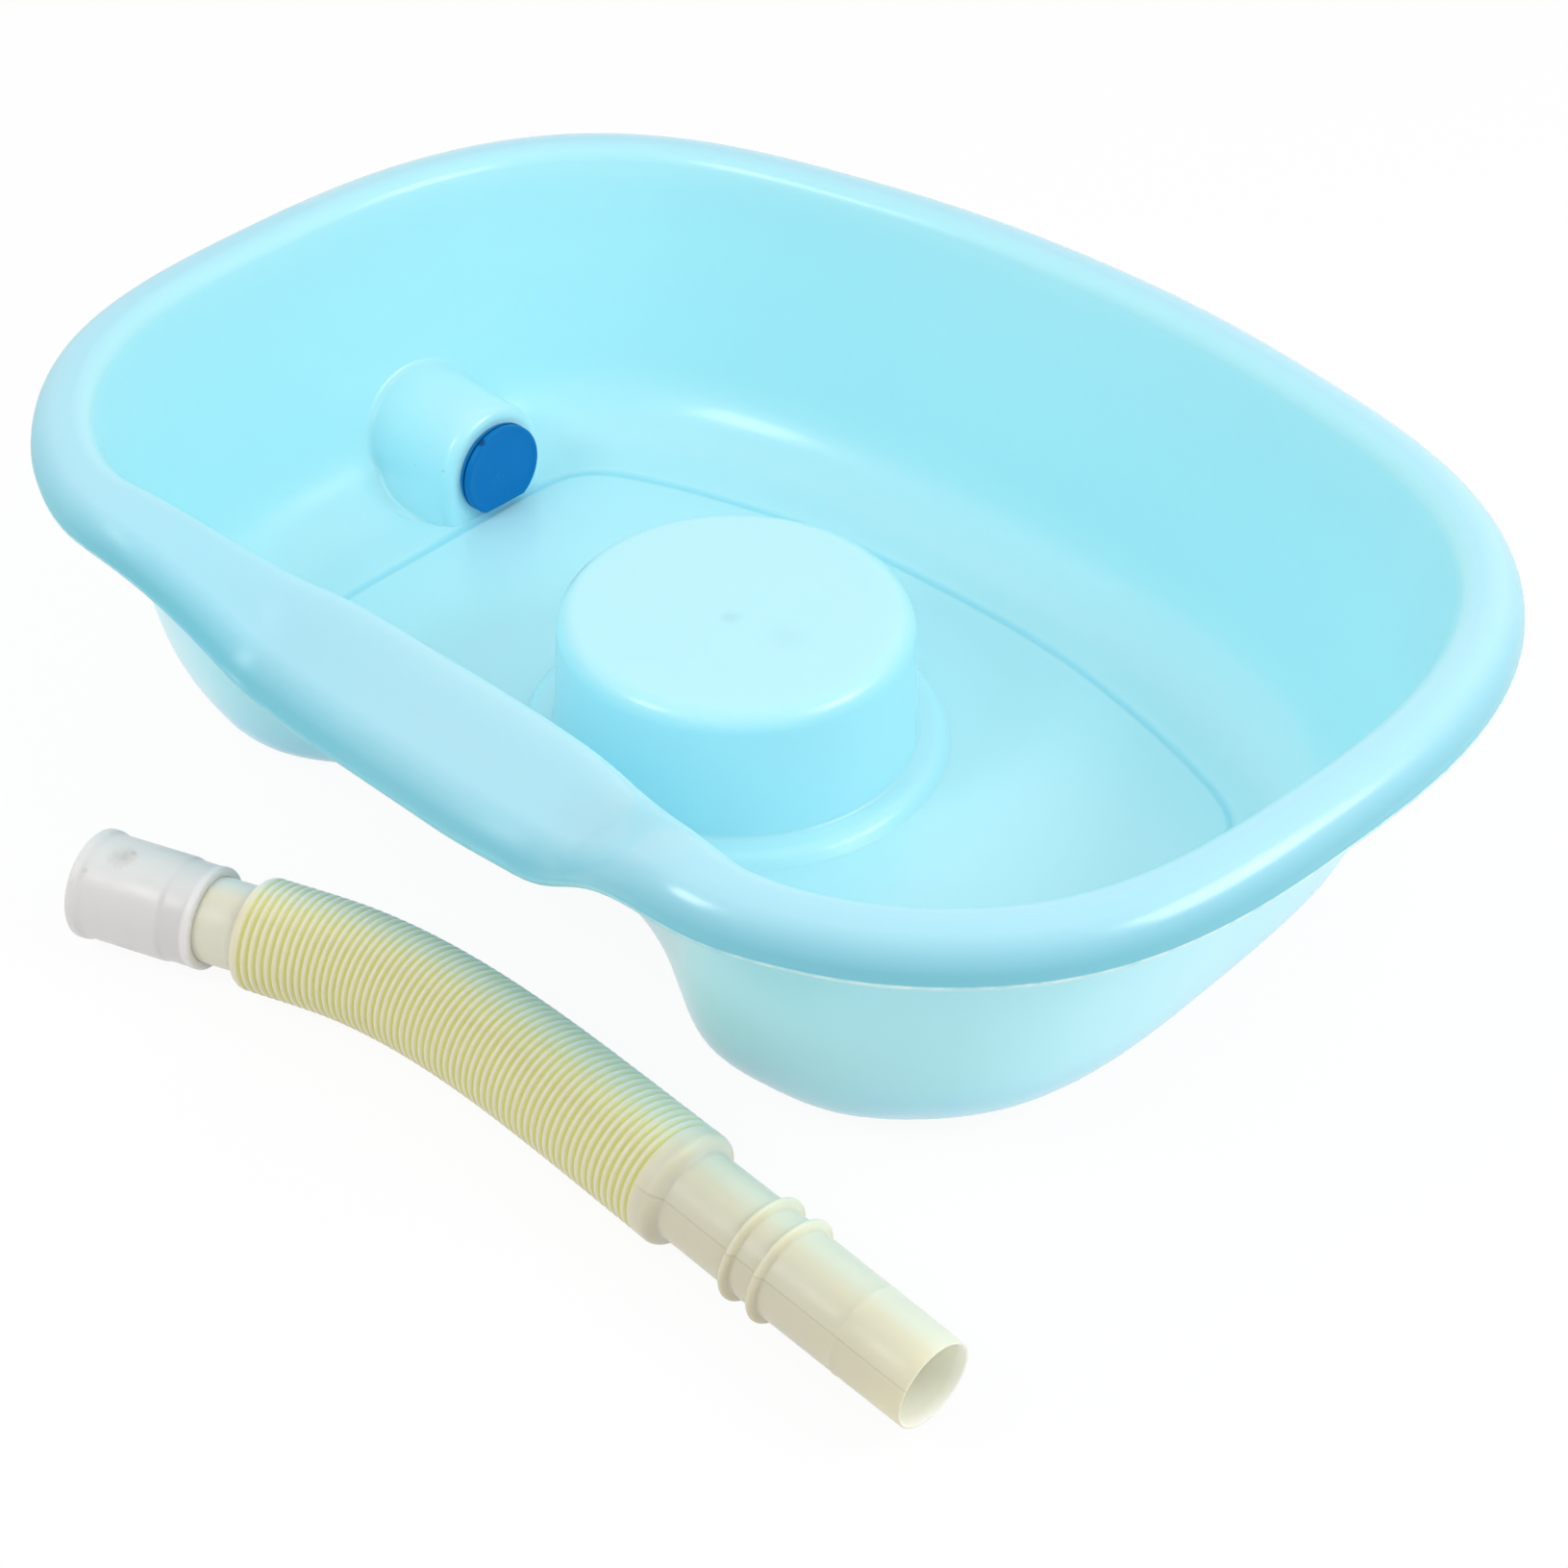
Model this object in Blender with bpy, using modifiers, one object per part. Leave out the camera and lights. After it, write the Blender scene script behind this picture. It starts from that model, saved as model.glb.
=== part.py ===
"""Portable shampoo basin with its drain plug, drain hose and hose connector.

Metres, +Z up. The origin is on the floor under the middle of the basin. +X runs along the basin,
and the neck rest is at -Y.
"""

import math

import bmesh
import bpy
import numpy as np

# Basin, seen from above: half sizes of the rim's crest line, and the outlines as shares of them.
# Each outline is half a control polygon, from the back middle to the front middle. The lip leans
# out at the front only, so the outlines' middle lies a little behind the origin.
CREST_HALF_LENGTH = 0.2571
CREST_HALF_DEPTH = 0.1832
OUTLINES_BEHIND_ORIGIN = 0.0025
CREST_SHARES = (
    (0.0, 1.005), (0.236, 0.989), (0.467, 0.925), (0.708, 0.838), (0.890, 0.648), (0.980, 0.383),
    (1.007, 0.106), (0.995, -0.171), (0.980, -0.432), (0.926, -0.678), (0.821, -0.852),
    (0.703, -0.966), (0.564, -1.023), (0.432, -0.942), (0.291, -0.838), (0.0, -0.845),
)
WALL_FOOT_SHARES = (
    (0.0, 0.789), (0.223, 0.794), (0.436, 0.766), (0.636, 0.668), (0.782, 0.517), (0.855, 0.326),
    (0.869, 0.092), (0.867, -0.164), (0.866, -0.400), (0.831, -0.615), (0.749, -0.738),
    (0.664, -0.807), (0.569, -0.829), (0.447, -0.887), (0.300, -0.683), (0.0, -0.609),
)
FLOOR_SHARES = (
    (0.0, 0.618), (0.212, 0.612), (0.394, 0.558), (0.560, 0.486), (0.689, 0.406), (0.713, 0.258),
    (0.704, 0.076), (0.702, -0.155), (0.699, -0.368), (0.678, -0.500), (0.651, -0.630),
    (0.604, -0.752), (0.507, -0.786), (0.398, -0.744), (0.276, -0.594), (0.0, -0.558),
)
COLUMNS_PER_SPAN = 2

# Basin, seen from the side.
WALL = 0.0028
CREST_HEIGHT = 0.1274
INNER_ROLL_RADIUS = 0.0100
LIP_ROLL_RADIUS = 0.0145
WALL_DRAFT = math.radians(18)
FILLET_RISE = 0.0380
FLOOR_STEP = 0.0008
FLOOR_STEP_RUN = 0.0012

# Neck rest: how far the rim dips, widens and leans out at the front middle, and how far from the
# middle each of these starts and ends.
NECK_DIP = 0.0234
NECK_DIP_FROM = 0.0755
NECK_DIP_TO = 0.1394
NECK_WIDENING = 0.0248
NECK_WIDENING_FROM = 0.0509
NECK_WIDENING_TO = 0.1829
NECK_LEAN = 0.0085

# Head pedestal, raised from the floor behind the neck rest.
PEDESTAL_HEIGHT = 0.0585
PEDESTAL_TOP_RADIUS = 0.0674
PEDESTAL_DRAFT_SHARE = 0.057
PEDESTAL_EDGE_RADIUS = 0.0115
PEDESTAL_CROWN = 0.0008
PEDESTAL_NECK_GAP = 0.0030
LEDGE_RADIUS = 0.0830
LEDGE_HEIGHT = 0.0050
LEDGE_SLOPE_RUN = 0.0055

# Drain boss in the left wall: an arch that stands on the floor's edge. Its axis runs along X. The
# pocket behind it is open to the outside and below, and the spigot stands in the pocket.
BOSS_PAST_FLOOR_END = 0.0003
DRAIN_BEHIND_MIDDLE = 0.0265
DRAIN_HEIGHT = 0.0228
BOSS_END_RADIUS = 0.0262
BOSS_EDGE_RADIUS = 0.0045
BOSS_TAPER_SHARE = 0.16
BOSS_DEPTH = 0.0700
BOSS_ARCH_STEPS = 18
BORE_RADIUS = 0.0135
SPIGOT_RADIUS = 0.0158
SPIGOT_LENGTH = 0.0240

# Plug.
PLUG_FLANGE_RADIUS = 0.0201
PLUG_FLANGE_THICKNESS = 0.0050
PLUG_FLAT_DROP = 0.0168
PLUG_EDGE = 0.0007
PLUG_STEM_LENGTH = 0.0100
PLUG_STEM_TAPER = 0.0006
CLEARANCE = 0.0003

# Hose route in plan: control points of a smooth line, the first and last beyond its ends. The
# points at each end are in line, which keeps the neck and the cuff straight.
HOSE_ROUTE = (
    (-0.1116, -0.2569), (-0.0872, -0.2479), (-0.0628, -0.2389), (-0.0384, -0.2299),
    (-0.0140, -0.2209), (0.0104, -0.2119), (0.0420, -0.2067), (0.0765, -0.2052),
    (0.1120, -0.2061), (0.1470, -0.2077), (0.1820, -0.2093), (0.2170, -0.2109),
    (0.2520, -0.2125), (0.2870, -0.2141), (0.3220, -0.2157),
)
HOSE_BORE_RADIUS = 0.0130
RIBBED_BORE_RADIUS = 0.0163
HOSE_LIFT = 0.0001
NECK_RADIUS = 0.0153
NECK_LENGTH = 0.0275
NECK_SHOULDER_RUN = 0.0040
RIB_COUNT = 60
RIB_PITCH = 0.00304
RIB_RADIUS = 0.0200
GROOVE_RADIUS = 0.0186
SHOULDER_LENGTH = 0.0066
SHOULDER_ROUND = 0.0030
CUFF_RADIUS = 0.0158
CUFF_LENGTH = 0.0995
RING_RADIUS = 0.0180
RING_WIDTH = 0.0080
RING_EDGE = 0.0015
FIRST_RING_FROM_SHOULDER = 0.0285
RING_SPACING = 0.0121

# Connector sleeve on the hose's neck.
CONNECTOR_LENGTH = 0.0480
CONNECTOR_SOCKET = 0.0120
CONNECTOR_RADIUS = 0.0188
CONNECTOR_BORE_RADIUS = 0.0163
CONNECTOR_STEP_RADIUS = 0.0175
CONNECTOR_STEP_LENGTH = 0.0128
CONNECTOR_LIP_RADIUS = 0.0198
CONNECTOR_LIP_WIDTH = 0.0025
CONNECTOR_EDGE = 0.0008

TURNED_STEPS = 40


# Scene

def clear_scene():
    for thing in list(bpy.data.objects):
        bpy.data.objects.remove(thing, do_unlink=True)


def new_collection(name, hidden=False):
    collection = bpy.data.collections.new(name)
    bpy.context.scene.collection.children.link(collection)
    collection.hide_render = hidden
    return collection


def new_material(name, color, roughness):
    material = bpy.data.materials.new(name)
    material.use_nodes = True
    shader = material.node_tree.nodes["Principled BSDF"]
    shader.inputs["Base Color"].default_value = (*color, 1.0)
    shader.inputs["Roughness"].default_value = roughness
    shader.inputs["Metallic"].default_value = 0.0
    return material


def new_object(name, data, collection, parent=None):
    thing = bpy.data.objects.new(name, data)
    collection.objects.link(thing)
    thing.parent = parent
    return thing


def new_cutter(thing):
    thing.hide_render = True
    thing.display_type = "WIRE"
    return thing


def smooth_round_faces(thing):
    mesh = thing.data
    mesh.shade_smooth()
    mesh.set_sharp_from_angle(angle=math.radians(40))


def add_boolean(thing, other, operation):
    cut = thing.modifiers.new(other.name, "BOOLEAN")
    cut.operation = operation
    cut.object = other
    cut.solver = "EXACT"
    return cut


# Shapes

def closed_half(shares):
    """The full control polygon of an outline that mirrors across X = 0, in metres."""
    half = np.array(shares) * (CREST_HALF_LENGTH, CREST_HALF_DEPTH)
    mirrored = half[-2:0:-1] * (-1.0, 1.0)
    return np.vstack([half, mirrored]) + (0.0, OUTLINES_BEHIND_ORIGIN)


def spline_weights(place):
    """Weights of four neighbouring control points of a uniform cubic B-spline."""
    return np.array([
        (1 - place) ** 3,
        3 * place ** 3 - 6 * place ** 2 + 4,
        -3 * place ** 3 + 3 * place ** 2 + 3 * place + 1,
        place ** 3,
    ]) / 6


def spline_loop(points, per_span):
    count = len(points)
    loop = []
    for index in range(count):
        near = points[[(index + offset) % count for offset in (-1, 0, 1, 2)]]
        for step in range(per_span):
            loop.append(spline_weights(step / per_span) @ near)
    return np.array(loop)


def spline_line(points, per_span):
    line = []
    for index in range(1, len(points) - 2):
        near = points[index - 1:index + 3]
        for step in range(per_span):
            line.append(spline_weights(step / per_span) @ near)
    return np.array(line)


def outward_directions(loop):
    along = np.roll(loop, -1, axis=0) - np.roll(loop, 1, axis=0)
    along /= np.linalg.norm(along, axis=1)[:, None]
    return np.column_stack([-along[:, 1], along[:, 0]])


def fade(distance, start, end):
    """1 up to start, 0 beyond end, and a smooth change between them."""
    place = np.clip((end - distance) / (end - start), 0, 1)
    return place * place * (3 - 2 * place)


def at_height(loop, height):
    return np.column_stack([loop, np.broadcast_to(height, len(loop))])


def loft(name, rings, collection, closing_point=None, capped=False):
    """A mesh through rings of points: open, closed over at its last ring, or capped at both."""
    width = len(rings[0])
    points = [tuple(point) for ring in rings for point in ring]
    faces = []
    for row in range(len(rings) - 1):
        for column in range(width):
            beside = (column + 1) % width
            faces.append((
                row * width + column, (row + 1) * width + column,
                (row + 1) * width + beside, row * width + beside,
            ))
    last = (len(rings) - 1) * width
    if closing_point is not None:
        points.append(tuple(closing_point))
        for column in range(width):
            faces.append((last + column, len(points) - 1, last + (column + 1) % width))
    if capped:
        faces.append(tuple(range(width)))
        faces.append(tuple(last + column for column in reversed(range(width))))
    mesh = bpy.data.meshes.new(name)
    mesh.from_pydata(points, [], faces)
    return new_object(name, mesh, collection)


def turned(name, profile, collection, parent=None, closed=False):
    """A profile of (radius, height) points, turned round Z. It runs down its outer side."""
    mesh = bpy.data.meshes.new(name)
    edges = [(index, index + 1) for index in range(len(profile) - 1)]
    if closed:
        edges.append((len(profile) - 1, 0))
    mesh.from_pydata([(radius, 0.0, height) for radius, height in profile], edges, [])
    thing = new_object(name, mesh, collection, parent)
    screw = thing.modifiers.new("turn", "SCREW")
    screw.steps = TURNED_STEPS
    screw.render_steps = TURNED_STEPS
    screw.use_merge_vertices = True
    screw.merge_threshold = CLEARANCE / 10
    return thing


def made_real(thing, name, collection, parent=None):
    """A plain mesh object from an object as its modifiers or its curve settings shape it."""
    bpy.context.view_layer.update()
    graph = bpy.context.evaluated_depsgraph_get()
    mesh = bpy.data.meshes.new_from_object(thing.evaluated_get(graph))
    weld = bmesh.new()
    weld.from_mesh(mesh)
    bmesh.ops.remove_doubles(weld, verts=weld.verts, dist=CLEARANCE / 10)
    bmesh.ops.recalc_face_normals(weld, faces=weld.faces)
    weld.to_mesh(mesh)
    weld.free()
    place = thing.matrix_world.copy()
    bpy.data.objects.remove(thing, do_unlink=True)
    real = new_object(name, mesh, collection, parent)
    real.matrix_world = place
    return real


# Basin

def drafted_wall_rings(crest, outward, roll_centre, foot, floor):
    """The wall from the inner roll's end down to the fillet, and the fillet down to the floor."""
    top = crest - outward * INNER_ROLL_RADIUS * math.cos(WALL_DRAFT)
    top_height = roll_centre + INNER_ROLL_RADIUS * math.sin(WALL_DRAFT)
    fillet_top = WALL + FILLET_RISE
    rings = []
    for part in (0.0, 0.33, 0.67, 1.0):
        height = top_height + (fillet_top - top_height) * part
        lean = ((top_height - height) / (top_height - WALL))[:, None]
        rings.append(np.column_stack([top + (foot - top) * lean, height]))
    start = rings[-1]
    corner = at_height(foot, WALL)
    end = at_height(floor, WALL + FLOOR_STEP)
    for part in (0.2, 0.4, 0.6, 0.8, 1.0):
        curve = (1 - part) ** 2 * start + 2 * part * (1 - part) * corner + part ** 2 * end
        rings.append(curve)
    return rings


def rim_rings(crest, outward, crest_top, widening, lean):
    """The rim from its lip, over the outer roll and the flat of the neck rest, to the inner roll."""
    lip_centre = crest + outward * widening[:, None]
    rings = []
    for angle in (0, 24, 47, 69):
        turn = math.radians(angle)
        reach = LIP_ROLL_RADIUS * math.cos(turn)
        height = crest_top - lean - LIP_ROLL_RADIUS * (1 - math.sin(turn))
        rings.append(np.column_stack([lip_centre + outward * reach, height]))
    rings.append(np.column_stack([(crest + lip_centre) / 2, crest_top - lean / 2]))
    for angle in (113, 137):
        turn = math.radians(angle)
        reach = INNER_ROLL_RADIUS * math.cos(turn)
        height = crest_top - INNER_ROLL_RADIUS * (1 - math.sin(turn))
        rings.append(np.column_stack([crest + outward * reach, height]))
    return rings


def pedestal_rings(floor):
    """The floor's inner edge, the ledge, the drafted side and the rounded top edge."""
    front = floor[len(floor) // 2]
    middle = np.array([0.0, front[1] + PEDESTAL_NECK_GAP + LEDGE_RADIUS])
    rays = floor - middle
    rays /= np.linalg.norm(rays, axis=1)[:, None]
    side_height = PEDESTAL_HEIGHT - PEDESTAL_EDGE_RADIUS
    foot_radius = PEDESTAL_TOP_RADIUS + (side_height - LEDGE_HEIGHT) * PEDESTAL_DRAFT_SHARE
    inner_radius = PEDESTAL_TOP_RADIUS - PEDESTAL_EDGE_RADIUS
    profile = [
        (LEDGE_RADIUS, 0.0),
        (LEDGE_RADIUS - 0.55 * LEDGE_SLOPE_RUN, 0.75 * LEDGE_HEIGHT),
        (LEDGE_RADIUS - LEDGE_SLOPE_RUN, LEDGE_HEIGHT),
        (foot_radius, LEDGE_HEIGHT),
        (PEDESTAL_TOP_RADIUS, side_height),
    ]
    for angle in (25, 50, 72, 90):
        turn = math.radians(angle)
        profile.append((
            inner_radius + PEDESTAL_EDGE_RADIUS * math.cos(turn),
            side_height + PEDESTAL_EDGE_RADIUS * math.sin(turn),
        ))
    rings = [at_height(middle + rays * radius, WALL + height) for radius, height in profile]
    top = (*middle, WALL + PEDESTAL_HEIGHT + PEDESTAL_CROWN)
    return rings, top


def halfway_out(rings):
    """Rings moved out to the middle of the wall's thickness."""
    grid = np.stack(rings)
    around = np.roll(grid, -1, axis=1) - np.roll(grid, 1, axis=1)
    down = np.gradient(grid, axis=0)
    normal = np.cross(around, down)
    normal /= np.linalg.norm(normal, axis=2)[:, :, None]
    return list(grid + normal * WALL / 2)


def floor_left_end(behind):
    """Where the floor ends on the left, at a place along Y."""
    floor = spline_loop(closed_half(FLOOR_SHARES), COLUMNS_PER_SPAN)
    left = floor[floor[:, 0] < 0]
    left = left[np.argsort(left[:, 1])]
    return float(np.interp(behind, left[:, 1], left[:, 0]))


def drain_frame(collection):
    """An empty on the drain's axis, at the boss's end: its Z runs along +X, into the basin."""
    frame = new_object("drain_axis", None, collection)
    end = floor_left_end(DRAIN_BEHIND_MIDDLE) + BOSS_PAST_FLOOR_END
    frame.location = (end, DRAIN_BEHIND_MIDDLE, DRAIN_HEIGHT)
    frame.rotation_euler = (0.0, math.pi / 2, 0.0)
    return frame


def arch_ring(radius, leg, place):
    """A half round on two straight legs, across the drain's axis at a place along it."""
    ring = [(leg, -radius, place)]
    for step in range(BOSS_ARCH_STEPS + 1):
        turn = math.radians(270 - 180 * step / BOSS_ARCH_STEPS)
        ring.append((radius * math.cos(turn), radius * math.sin(turn), place))
    ring.append((leg, radius, place))
    return ring


def make_boss_block(cutters, frame):
    root_radius = BOSS_END_RADIUS + BOSS_DEPTH * BOSS_TAPER_SHARE
    flat_radius = BOSS_END_RADIUS - BOSS_EDGE_RADIUS
    rings = [arch_ring(root_radius, DRAIN_HEIGHT, -BOSS_DEPTH)]
    for angle in (0, 30, 60, 90):
        turn = math.radians(angle)
        radius = flat_radius + BOSS_EDGE_RADIUS * math.cos(turn)
        rings.append(arch_ring(radius, DRAIN_HEIGHT, BOSS_EDGE_RADIUS * (math.sin(turn) - 1)))
    boss = loft("boss_block", rings, cutters, capped=True)
    boss.parent = frame
    return boss


def make_boss_pocket(cutters, frame):
    below_floor = DRAIN_HEIGHT + WALL
    rings = []
    for place in (-BOSS_DEPTH, -WALL):
        radius = BOSS_END_RADIUS - place * BOSS_TAPER_SHARE - WALL
        rings.append(arch_ring(radius, below_floor, place))
    pocket = loft("boss_pocket", rings, cutters, capped=True)
    pocket.parent = frame
    return pocket


def make_drain(shell, wall_rings, cutters, frame):
    """Joins the boss and the spigot to the shell, and cuts the pocket and the bore."""
    boss = make_boss_block(cutters, frame)
    body = halfway_out(wall_rings)
    envelope = loft("basin_envelope", body[::-1], cutters, capped=True)
    add_boolean(boss, envelope, "INTERSECT")
    pocket = make_boss_pocket(cutters, frame)
    spigot = turned(
        "spigot_block",
        [
            (0.0, -WALL / 2), (SPIGOT_RADIUS, -WALL / 2),
            (SPIGOT_RADIUS, -WALL - SPIGOT_LENGTH), (0.0, -WALL - SPIGOT_LENGTH),
        ],
        cutters, frame,
    )
    bore = turned(
        "drain_bore",
        [
            (0.0, WALL), (BORE_RADIUS, WALL),
            (BORE_RADIUS, -2 * WALL - SPIGOT_LENGTH), (0.0, -2 * WALL - SPIGOT_LENGTH),
        ],
        cutters, frame,
    )
    for block in (boss, envelope, pocket, spigot, bore):
        new_cutter(block)
    add_boolean(shell, boss, "UNION")
    add_boolean(shell, pocket, "DIFFERENCE")
    add_boolean(shell, spigot, "UNION")
    add_boolean(shell, bore, "DIFFERENCE")


def make_basin(parts, cutters, frame):
    crest = spline_loop(closed_half(CREST_SHARES), COLUMNS_PER_SPAN)
    foot = spline_loop(closed_half(WALL_FOOT_SHARES), COLUMNS_PER_SPAN)
    floor = spline_loop(closed_half(FLOOR_SHARES), COLUMNS_PER_SPAN)
    outward = outward_directions(crest)
    at_front = crest[:, 1] < 0
    dip = fade(abs(crest[:, 0]), NECK_DIP_FROM, NECK_DIP_TO) * at_front
    wide = fade(abs(crest[:, 0]), NECK_WIDENING_FROM, NECK_WIDENING_TO) * at_front
    crest_top = CREST_HEIGHT - NECK_DIP * dip
    roll_centre = crest_top - INNER_ROLL_RADIUS

    rim = rim_rings(crest, outward, crest_top, NECK_WIDENING * wide, NECK_LEAN * dip)
    wall = drafted_wall_rings(crest, outward, roll_centre, foot, floor)
    inward = outward_directions(floor) * -FLOOR_STEP_RUN
    floor_edge = at_height(floor + inward, WALL)
    pedestal, top = pedestal_rings(floor)
    shell = loft("basin_shell", [*rim, *wall, floor_edge, *pedestal], parts, closing_point=top)
    smooth_round_faces(shell)
    thicken = shell.modifiers.new("wall", "SOLIDIFY")
    thicken.thickness = WALL
    thicken.offset = -1.0
    thicken.use_even_offset = True
    make_drain(shell, wall, cutters, frame)
    return shell


# Plug

def make_plug(parts, cutters, frame):
    seat = CLEARANCE
    front = seat + PLUG_FLANGE_THICKNESS
    stem_radius = BORE_RADIUS - CLEARANCE
    plug = turned(
        "drain_plug",
        [
            (0.0, front),
            (PLUG_FLANGE_RADIUS - PLUG_EDGE, front),
            (PLUG_FLANGE_RADIUS, front - PLUG_EDGE),
            (PLUG_FLANGE_RADIUS, seat + PLUG_EDGE),
            (PLUG_FLANGE_RADIUS - PLUG_EDGE, seat),
            (stem_radius, seat),
            (stem_radius - PLUG_STEM_TAPER, seat - PLUG_STEM_LENGTH),
            (0.0, seat - PLUG_STEM_LENGTH),
        ],
        parts, frame,
    )
    smooth_round_faces(plug)
    bpy.ops.mesh.primitive_cube_add(size=4 * PLUG_FLANGE_RADIUS)
    flat = bpy.context.object
    flat.name = "plug_flat"
    for holder in flat.users_collection:
        holder.objects.unlink(flat)
    cutters.objects.link(flat)
    flat.parent = frame
    flat.location = (PLUG_FLAT_DROP + 2 * PLUG_FLANGE_RADIUS, 0.0, 0.0)
    new_cutter(flat)
    add_boolean(plug, flat, "DIFFERENCE")
    return plug


# Hose and connector

def hose_frame(collection):
    """An empty at the connector's free end: its Z runs along the hose's neck."""
    start = HOSE_ROUTE[1]
    ahead = HOSE_ROUTE[2]
    frame = new_object("hose_neck_axis", None, collection)
    frame.location = (*start, RIB_RADIUS + HOSE_LIFT)
    heading = math.atan2(ahead[1] - start[1], ahead[0] - start[0])
    frame.rotation_euler = (0.0, math.pi / 2, heading)
    return frame


def route_reader():
    """A function from a length along the hose's route to the point there."""
    line = spline_line(np.array(HOSE_ROUTE), 24)
    steps = np.linalg.norm(np.diff(line, axis=0), axis=1)
    lengths = np.concatenate([[0.0], np.cumsum(steps)])

    def point_at(length):
        x = np.interp(length, lengths, line[:, 0])
        y = np.interp(length, lengths, line[:, 1])
        return (float(x), float(y), RIB_RADIUS + HOSE_LIFT)

    return point_at


def hose_profile():
    """(length along the route, radius) from the neck's end in the connector to the open end."""
    start = CONNECTOR_LENGTH - CONNECTOR_SOCKET
    ribs_start = start + NECK_LENGTH + NECK_SHOULDER_RUN
    profile = [(start, NECK_RADIUS), (start + NECK_LENGTH, NECK_RADIUS)]
    for rib in range(RIB_COUNT):
        place = ribs_start + rib * RIB_PITCH
        profile.append((place, RIB_RADIUS))
        profile.append((place + RIB_PITCH / 2, GROOVE_RADIUS))
    shoulder = ribs_start + RIB_COUNT * RIB_PITCH
    cuff = shoulder + SHOULDER_LENGTH + SHOULDER_ROUND
    profile.append((shoulder, RIB_RADIUS))
    profile.append((shoulder + SHOULDER_LENGTH, RIB_RADIUS))
    profile.append((cuff, CUFF_RADIUS))
    for ring in range(2):
        middle = cuff + FIRST_RING_FROM_SHOULDER + ring * RING_SPACING
        profile.append((middle - RING_WIDTH / 2 - RING_EDGE, CUFF_RADIUS))
        profile.append((middle - RING_WIDTH / 2, RING_RADIUS))
        profile.append((middle + RING_WIDTH / 2, RING_RADIUS))
        profile.append((middle + RING_WIDTH / 2 + RING_EDGE, CUFF_RADIUS))
    profile.append((cuff + CUFF_LENGTH, CUFF_RADIUS))
    return profile


def tube(name, points, radii, collection):
    """A tube along points, with a radius at each, as a plain closed mesh."""
    curve = bpy.data.curves.new(name, "CURVE")
    curve.dimensions = "3D"
    curve.twist_mode = "Z_UP"
    curve.bevel_depth = RIB_RADIUS
    curve.bevel_resolution = 2
    curve.use_fill_caps = True
    line = curve.splines.new("POLY")
    line.points.add(len(points) - 1)
    for knot, point, radius in zip(line.points, points, radii):
        knot.co = (*point, 1.0)
        knot.radius = radius / RIB_RADIUS
    draft = new_object(name + "_line", curve, collection)
    return made_real(draft, name, collection)


def make_hose(parts, cutters):
    point_at = route_reader()
    profile = hose_profile()
    hose = tube(
        "drain_hose", [point_at(length) for length, _ in profile],
        [radius for _, radius in profile], parts,
    )
    smooth_round_faces(hose)
    first = profile[0][0] - RIB_PITCH
    last = profile[-1][0] + RIB_PITCH
    count = round((last - first) / HOSE_BORE_RADIUS)
    lengths = np.linspace(first, last, count)
    ribs_start = profile[2][0]
    ribs_end = ribs_start + RIB_COUNT * RIB_PITCH
    radii = [
        RIBBED_BORE_RADIUS if ribs_start < length < ribs_end else HOSE_BORE_RADIUS
        for length in lengths
    ]
    bore = tube("hose_bore", [point_at(length) for length in lengths], radii, cutters)
    new_cutter(bore)
    add_boolean(hose, bore, "DIFFERENCE")
    print("hose length", round(profile[-1][0] - profile[0][0], 4))
    return hose


def make_connector(parts, frame):
    step = CONNECTOR_LENGTH - CONNECTOR_STEP_LENGTH
    socket = CONNECTOR_LENGTH - CONNECTOR_SOCKET - CLEARANCE
    socket_radius = NECK_RADIUS + CLEARANCE
    connector = turned(
        "hose_connector",
        [
            (socket_radius, CONNECTOR_LENGTH),
            (CONNECTOR_STEP_RADIUS - CONNECTOR_EDGE, CONNECTOR_LENGTH),
            (CONNECTOR_STEP_RADIUS, CONNECTOR_LENGTH - CONNECTOR_EDGE),
            (CONNECTOR_STEP_RADIUS, step + CONNECTOR_EDGE),
            (CONNECTOR_RADIUS, step),
            (CONNECTOR_RADIUS, CONNECTOR_LIP_WIDTH + CONNECTOR_EDGE),
            (CONNECTOR_LIP_RADIUS, CONNECTOR_LIP_WIDTH),
            (CONNECTOR_LIP_RADIUS, CONNECTOR_EDGE),
            (CONNECTOR_LIP_RADIUS - CONNECTOR_EDGE, 0.0),
            (CONNECTOR_BORE_RADIUS, 0.0),
            (CONNECTOR_BORE_RADIUS, socket),
            (socket_radius, socket),
        ],
        parts, frame, closed=True,
    )
    smooth_round_faces(connector)
    return connector


def main():
    clear_scene()
    parts = new_collection("portable_shampoo_basin")
    cutters = new_collection("cutters", hidden=True)
    drain = drain_frame(parts)
    neck = hose_frame(parts)
    shell = make_basin(parts, cutters, drain)
    plug = make_plug(parts, cutters, drain)
    hose = make_hose(parts, cutters)
    connector = make_connector(parts, neck)
    shell.data.materials.append(new_material("pale_blue_plastic", (0.42, 0.80, 0.90), 0.32))
    plug.data.materials.append(new_material("blue_rubber", (0.006, 0.16, 0.50), 0.45))
    hose.data.materials.append(new_material("cream_plastic", (0.70, 0.68, 0.50), 0.40))
    connector.data.materials.append(new_material("milky_plastic", (0.72, 0.72, 0.75), 0.35))
    bpy.context.view_layer.update()


main()
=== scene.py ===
import math

import bpy
import numpy as np
from mathutils import Matrix, Vector


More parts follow.
